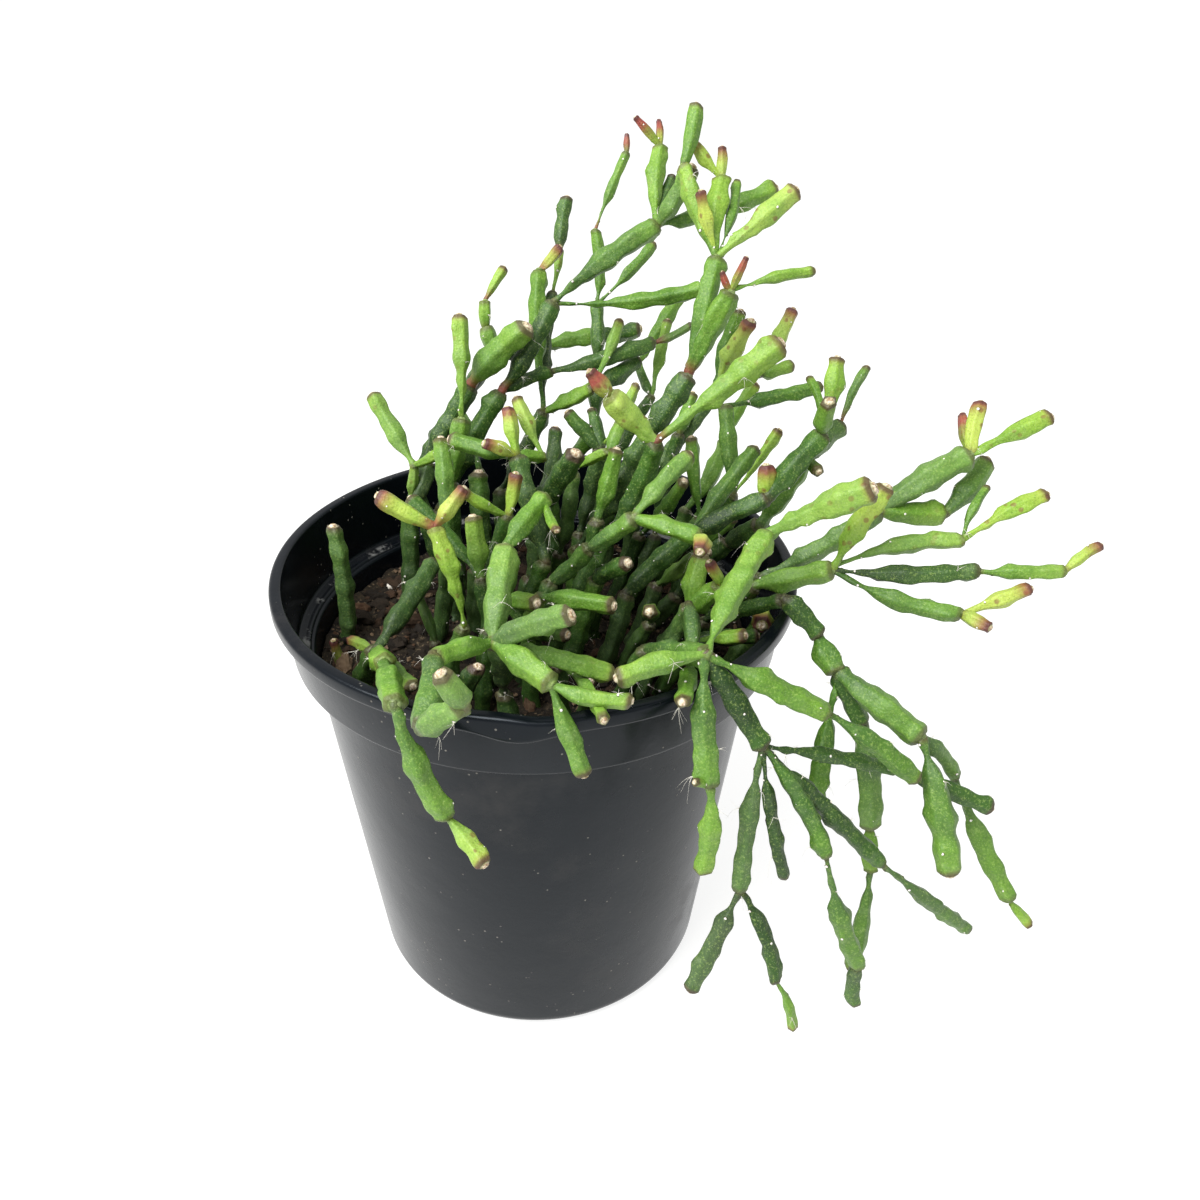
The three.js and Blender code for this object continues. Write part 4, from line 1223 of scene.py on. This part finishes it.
def make_soil():
    low, high = (Vector(c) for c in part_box("potting_soil"))
    edge = (high.x - low.x) / 2
    top = high.z - LUMP
    rings = []
    underside = (
        (edge - 12 * MM, low.z),
        (edge - 9 * MM, low.z + 5 * MM),
        (edge - 0.5 * MM, top - 4 * MM),
    )
    for radius, z in underside:
        rings.append([
            (radius * math.cos(a), radius * math.sin(a), z)
            for a in np.linspace(0, 2 * math.pi, SOIL_SIDES, endpoint=False)
        ])
    for i in range(SOIL_RINGS):
        radius = edge * (1 - i / SOIL_RINGS) + 0.1 * MM
        ring = []
        for a in np.linspace(0, 2 * math.pi, SOIL_SIDES, endpoint=False):
            x, y = radius * math.cos(a), radius * math.sin(a)
            ring.append((x, y, soil_height(x, y, top)))
        rings.append(ring)
    shape = Shape()
    shape.rings(rings)
    piece = shape.finish("soil", soil_material())
    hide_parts("potting_soil")
    scatter_grains(edge, top)


def scatter_grains(edge, top):
    """Bark and peat crumbs with a few white perlite grains, half sunk in the soil."""
    rng = random.Random(CRUMB_SEED)
    points, faces = unit_icosphere(2)
    crumbs = Shape("tone")
    perlite = Shape()
    for number in range(CRUMBS + PERLITE):
        white = number >= CRUMBS
        size = (rng.uniform(0.4, 1.1) if white else rng.uniform(0.3, 0.7) + rng.random() ** 7 * 1.9) * MM
        radius = (edge - size * 1.6) * math.sqrt(rng.random())
        angle = rng.uniform(0, 2 * math.pi)
        x, y = radius * math.cos(angle), radius * math.sin(angle)
        at = Vector((x, y, soil_height(x, y, top) + size * 0.25))
        axis = Vector((rng.uniform(-0.4, 0.4), rng.uniform(-0.4, 0.4), 1)).normalized()
        turn = Matrix.Rotation(rng.uniform(0, 6.3), 3, axis)
        stretch = Vector((rng.uniform(0.8, 2.0), rng.uniform(0.6, 1.0), rng.uniform(0.35, 0.8)))
        seed = Vector((number * 3.7, 0, 0))
        grain = []
        for p in points:
            bumpy = 1 + 0.5 * noise.noise(p * 1.4 + seed) + 0.4 * noise.noise(p * 3.1 + seed)
            grain.append(at + turn @ Vector(a * b for a, b in zip(p, stretch)) * (size * bumpy))
        (perlite if white else crumbs).solid(grain, faces, tone=0.1 + 0.8 * rng.random() ** 2)
    crumbs.finish("soil_crumbs", crumb_material(), smooth=False)
    perlite.finish("perlite_grains", perlite_material())


# ---------------------------------------------------------------- studio

CAMERA_AT = Vector((0, -200.5, 226.0)) * MM
CAMERA_PAN = math.radians(4.26)  # to the right of +Y
CAMERA_TILT = math.radians(32.13)  # below the horizon
CAMERA_ROLL = math.radians(1.42)
CAMERA_LENS = 30  # mm, on a sensor 36 mm wide
CAMERA_SENSOR = 36
NEAREST_SEEN = 0.01
WORLD_STRENGTH = 0.7
KEY_AT = (-0.4, -0.3, 0.8)
KEY_SIZE = 0.7
KEY_POWER = 13
KEY_AIM = Vector((0.01, 0, 0.09))  # near the foot of the stems
FLOOR_SIZE = 120


def make_camera():
    ahead = Vector((
        math.sin(CAMERA_PAN) * math.cos(CAMERA_TILT),
        math.cos(CAMERA_PAN) * math.cos(CAMERA_TILT),
        -math.sin(CAMERA_TILT),
    ))
    level = Vector((math.cos(CAMERA_PAN), -math.sin(CAMERA_PAN), 0))
    above = level.cross(ahead)
    right = level * math.cos(CAMERA_ROLL) + above * math.sin(CAMERA_ROLL)
    up = above * math.cos(CAMERA_ROLL) - level * math.sin(CAMERA_ROLL)
    data = bpy.data.cameras.new("camera")
    data.lens = CAMERA_LENS
    data.sensor_width = CAMERA_SENSOR
    data.clip_start = NEAREST_SEEN
    camera = bpy.data.objects.new("camera", data)
    camera.matrix_world = Matrix((right, up, -ahead)).transposed().to_4x4()
    camera.location = CAMERA_AT
    bpy.context.collection.objects.link(camera)
    bpy.context.scene.camera = camera


def area_light(name, at, size, power):
    data = bpy.data.lights.new(name, "AREA")
    data.shape = "DISK"
    data.size = size
    data.energy = power
    light = bpy.data.objects.new(name, data)
    light.location = at
    aim = KEY_AIM - light.location
    light.rotation_euler = aim.to_track_quat("-Z", "Y").to_euler()
    bpy.context.collection.objects.link(light)


def make_studio():
    world = bpy.data.worlds.new("studio")
    world.use_nodes = True
    sky = world.node_tree.nodes["Background"]
    sky.inputs["Color"].default_value = (1, 1, 1, 1)
    sky.inputs["Strength"].default_value = WORLD_STRENGTH
    bpy.context.scene.world = world
    bpy.context.scene.view_settings.view_transform = "Standard"
    area_light("key", KEY_AT, KEY_SIZE, KEY_POWER)
    bpy.ops.mesh.primitive_plane_add(size=FLOOR_SIZE)
    floor = bpy.context.object
    floor.name = "floor"
    floor.data.materials.append(floor_material())


make_camera()
make_studio()
all_segments = grow_stems()
settle(all_segments)
make_stems(all_segments)
make_pot()
make_soil()
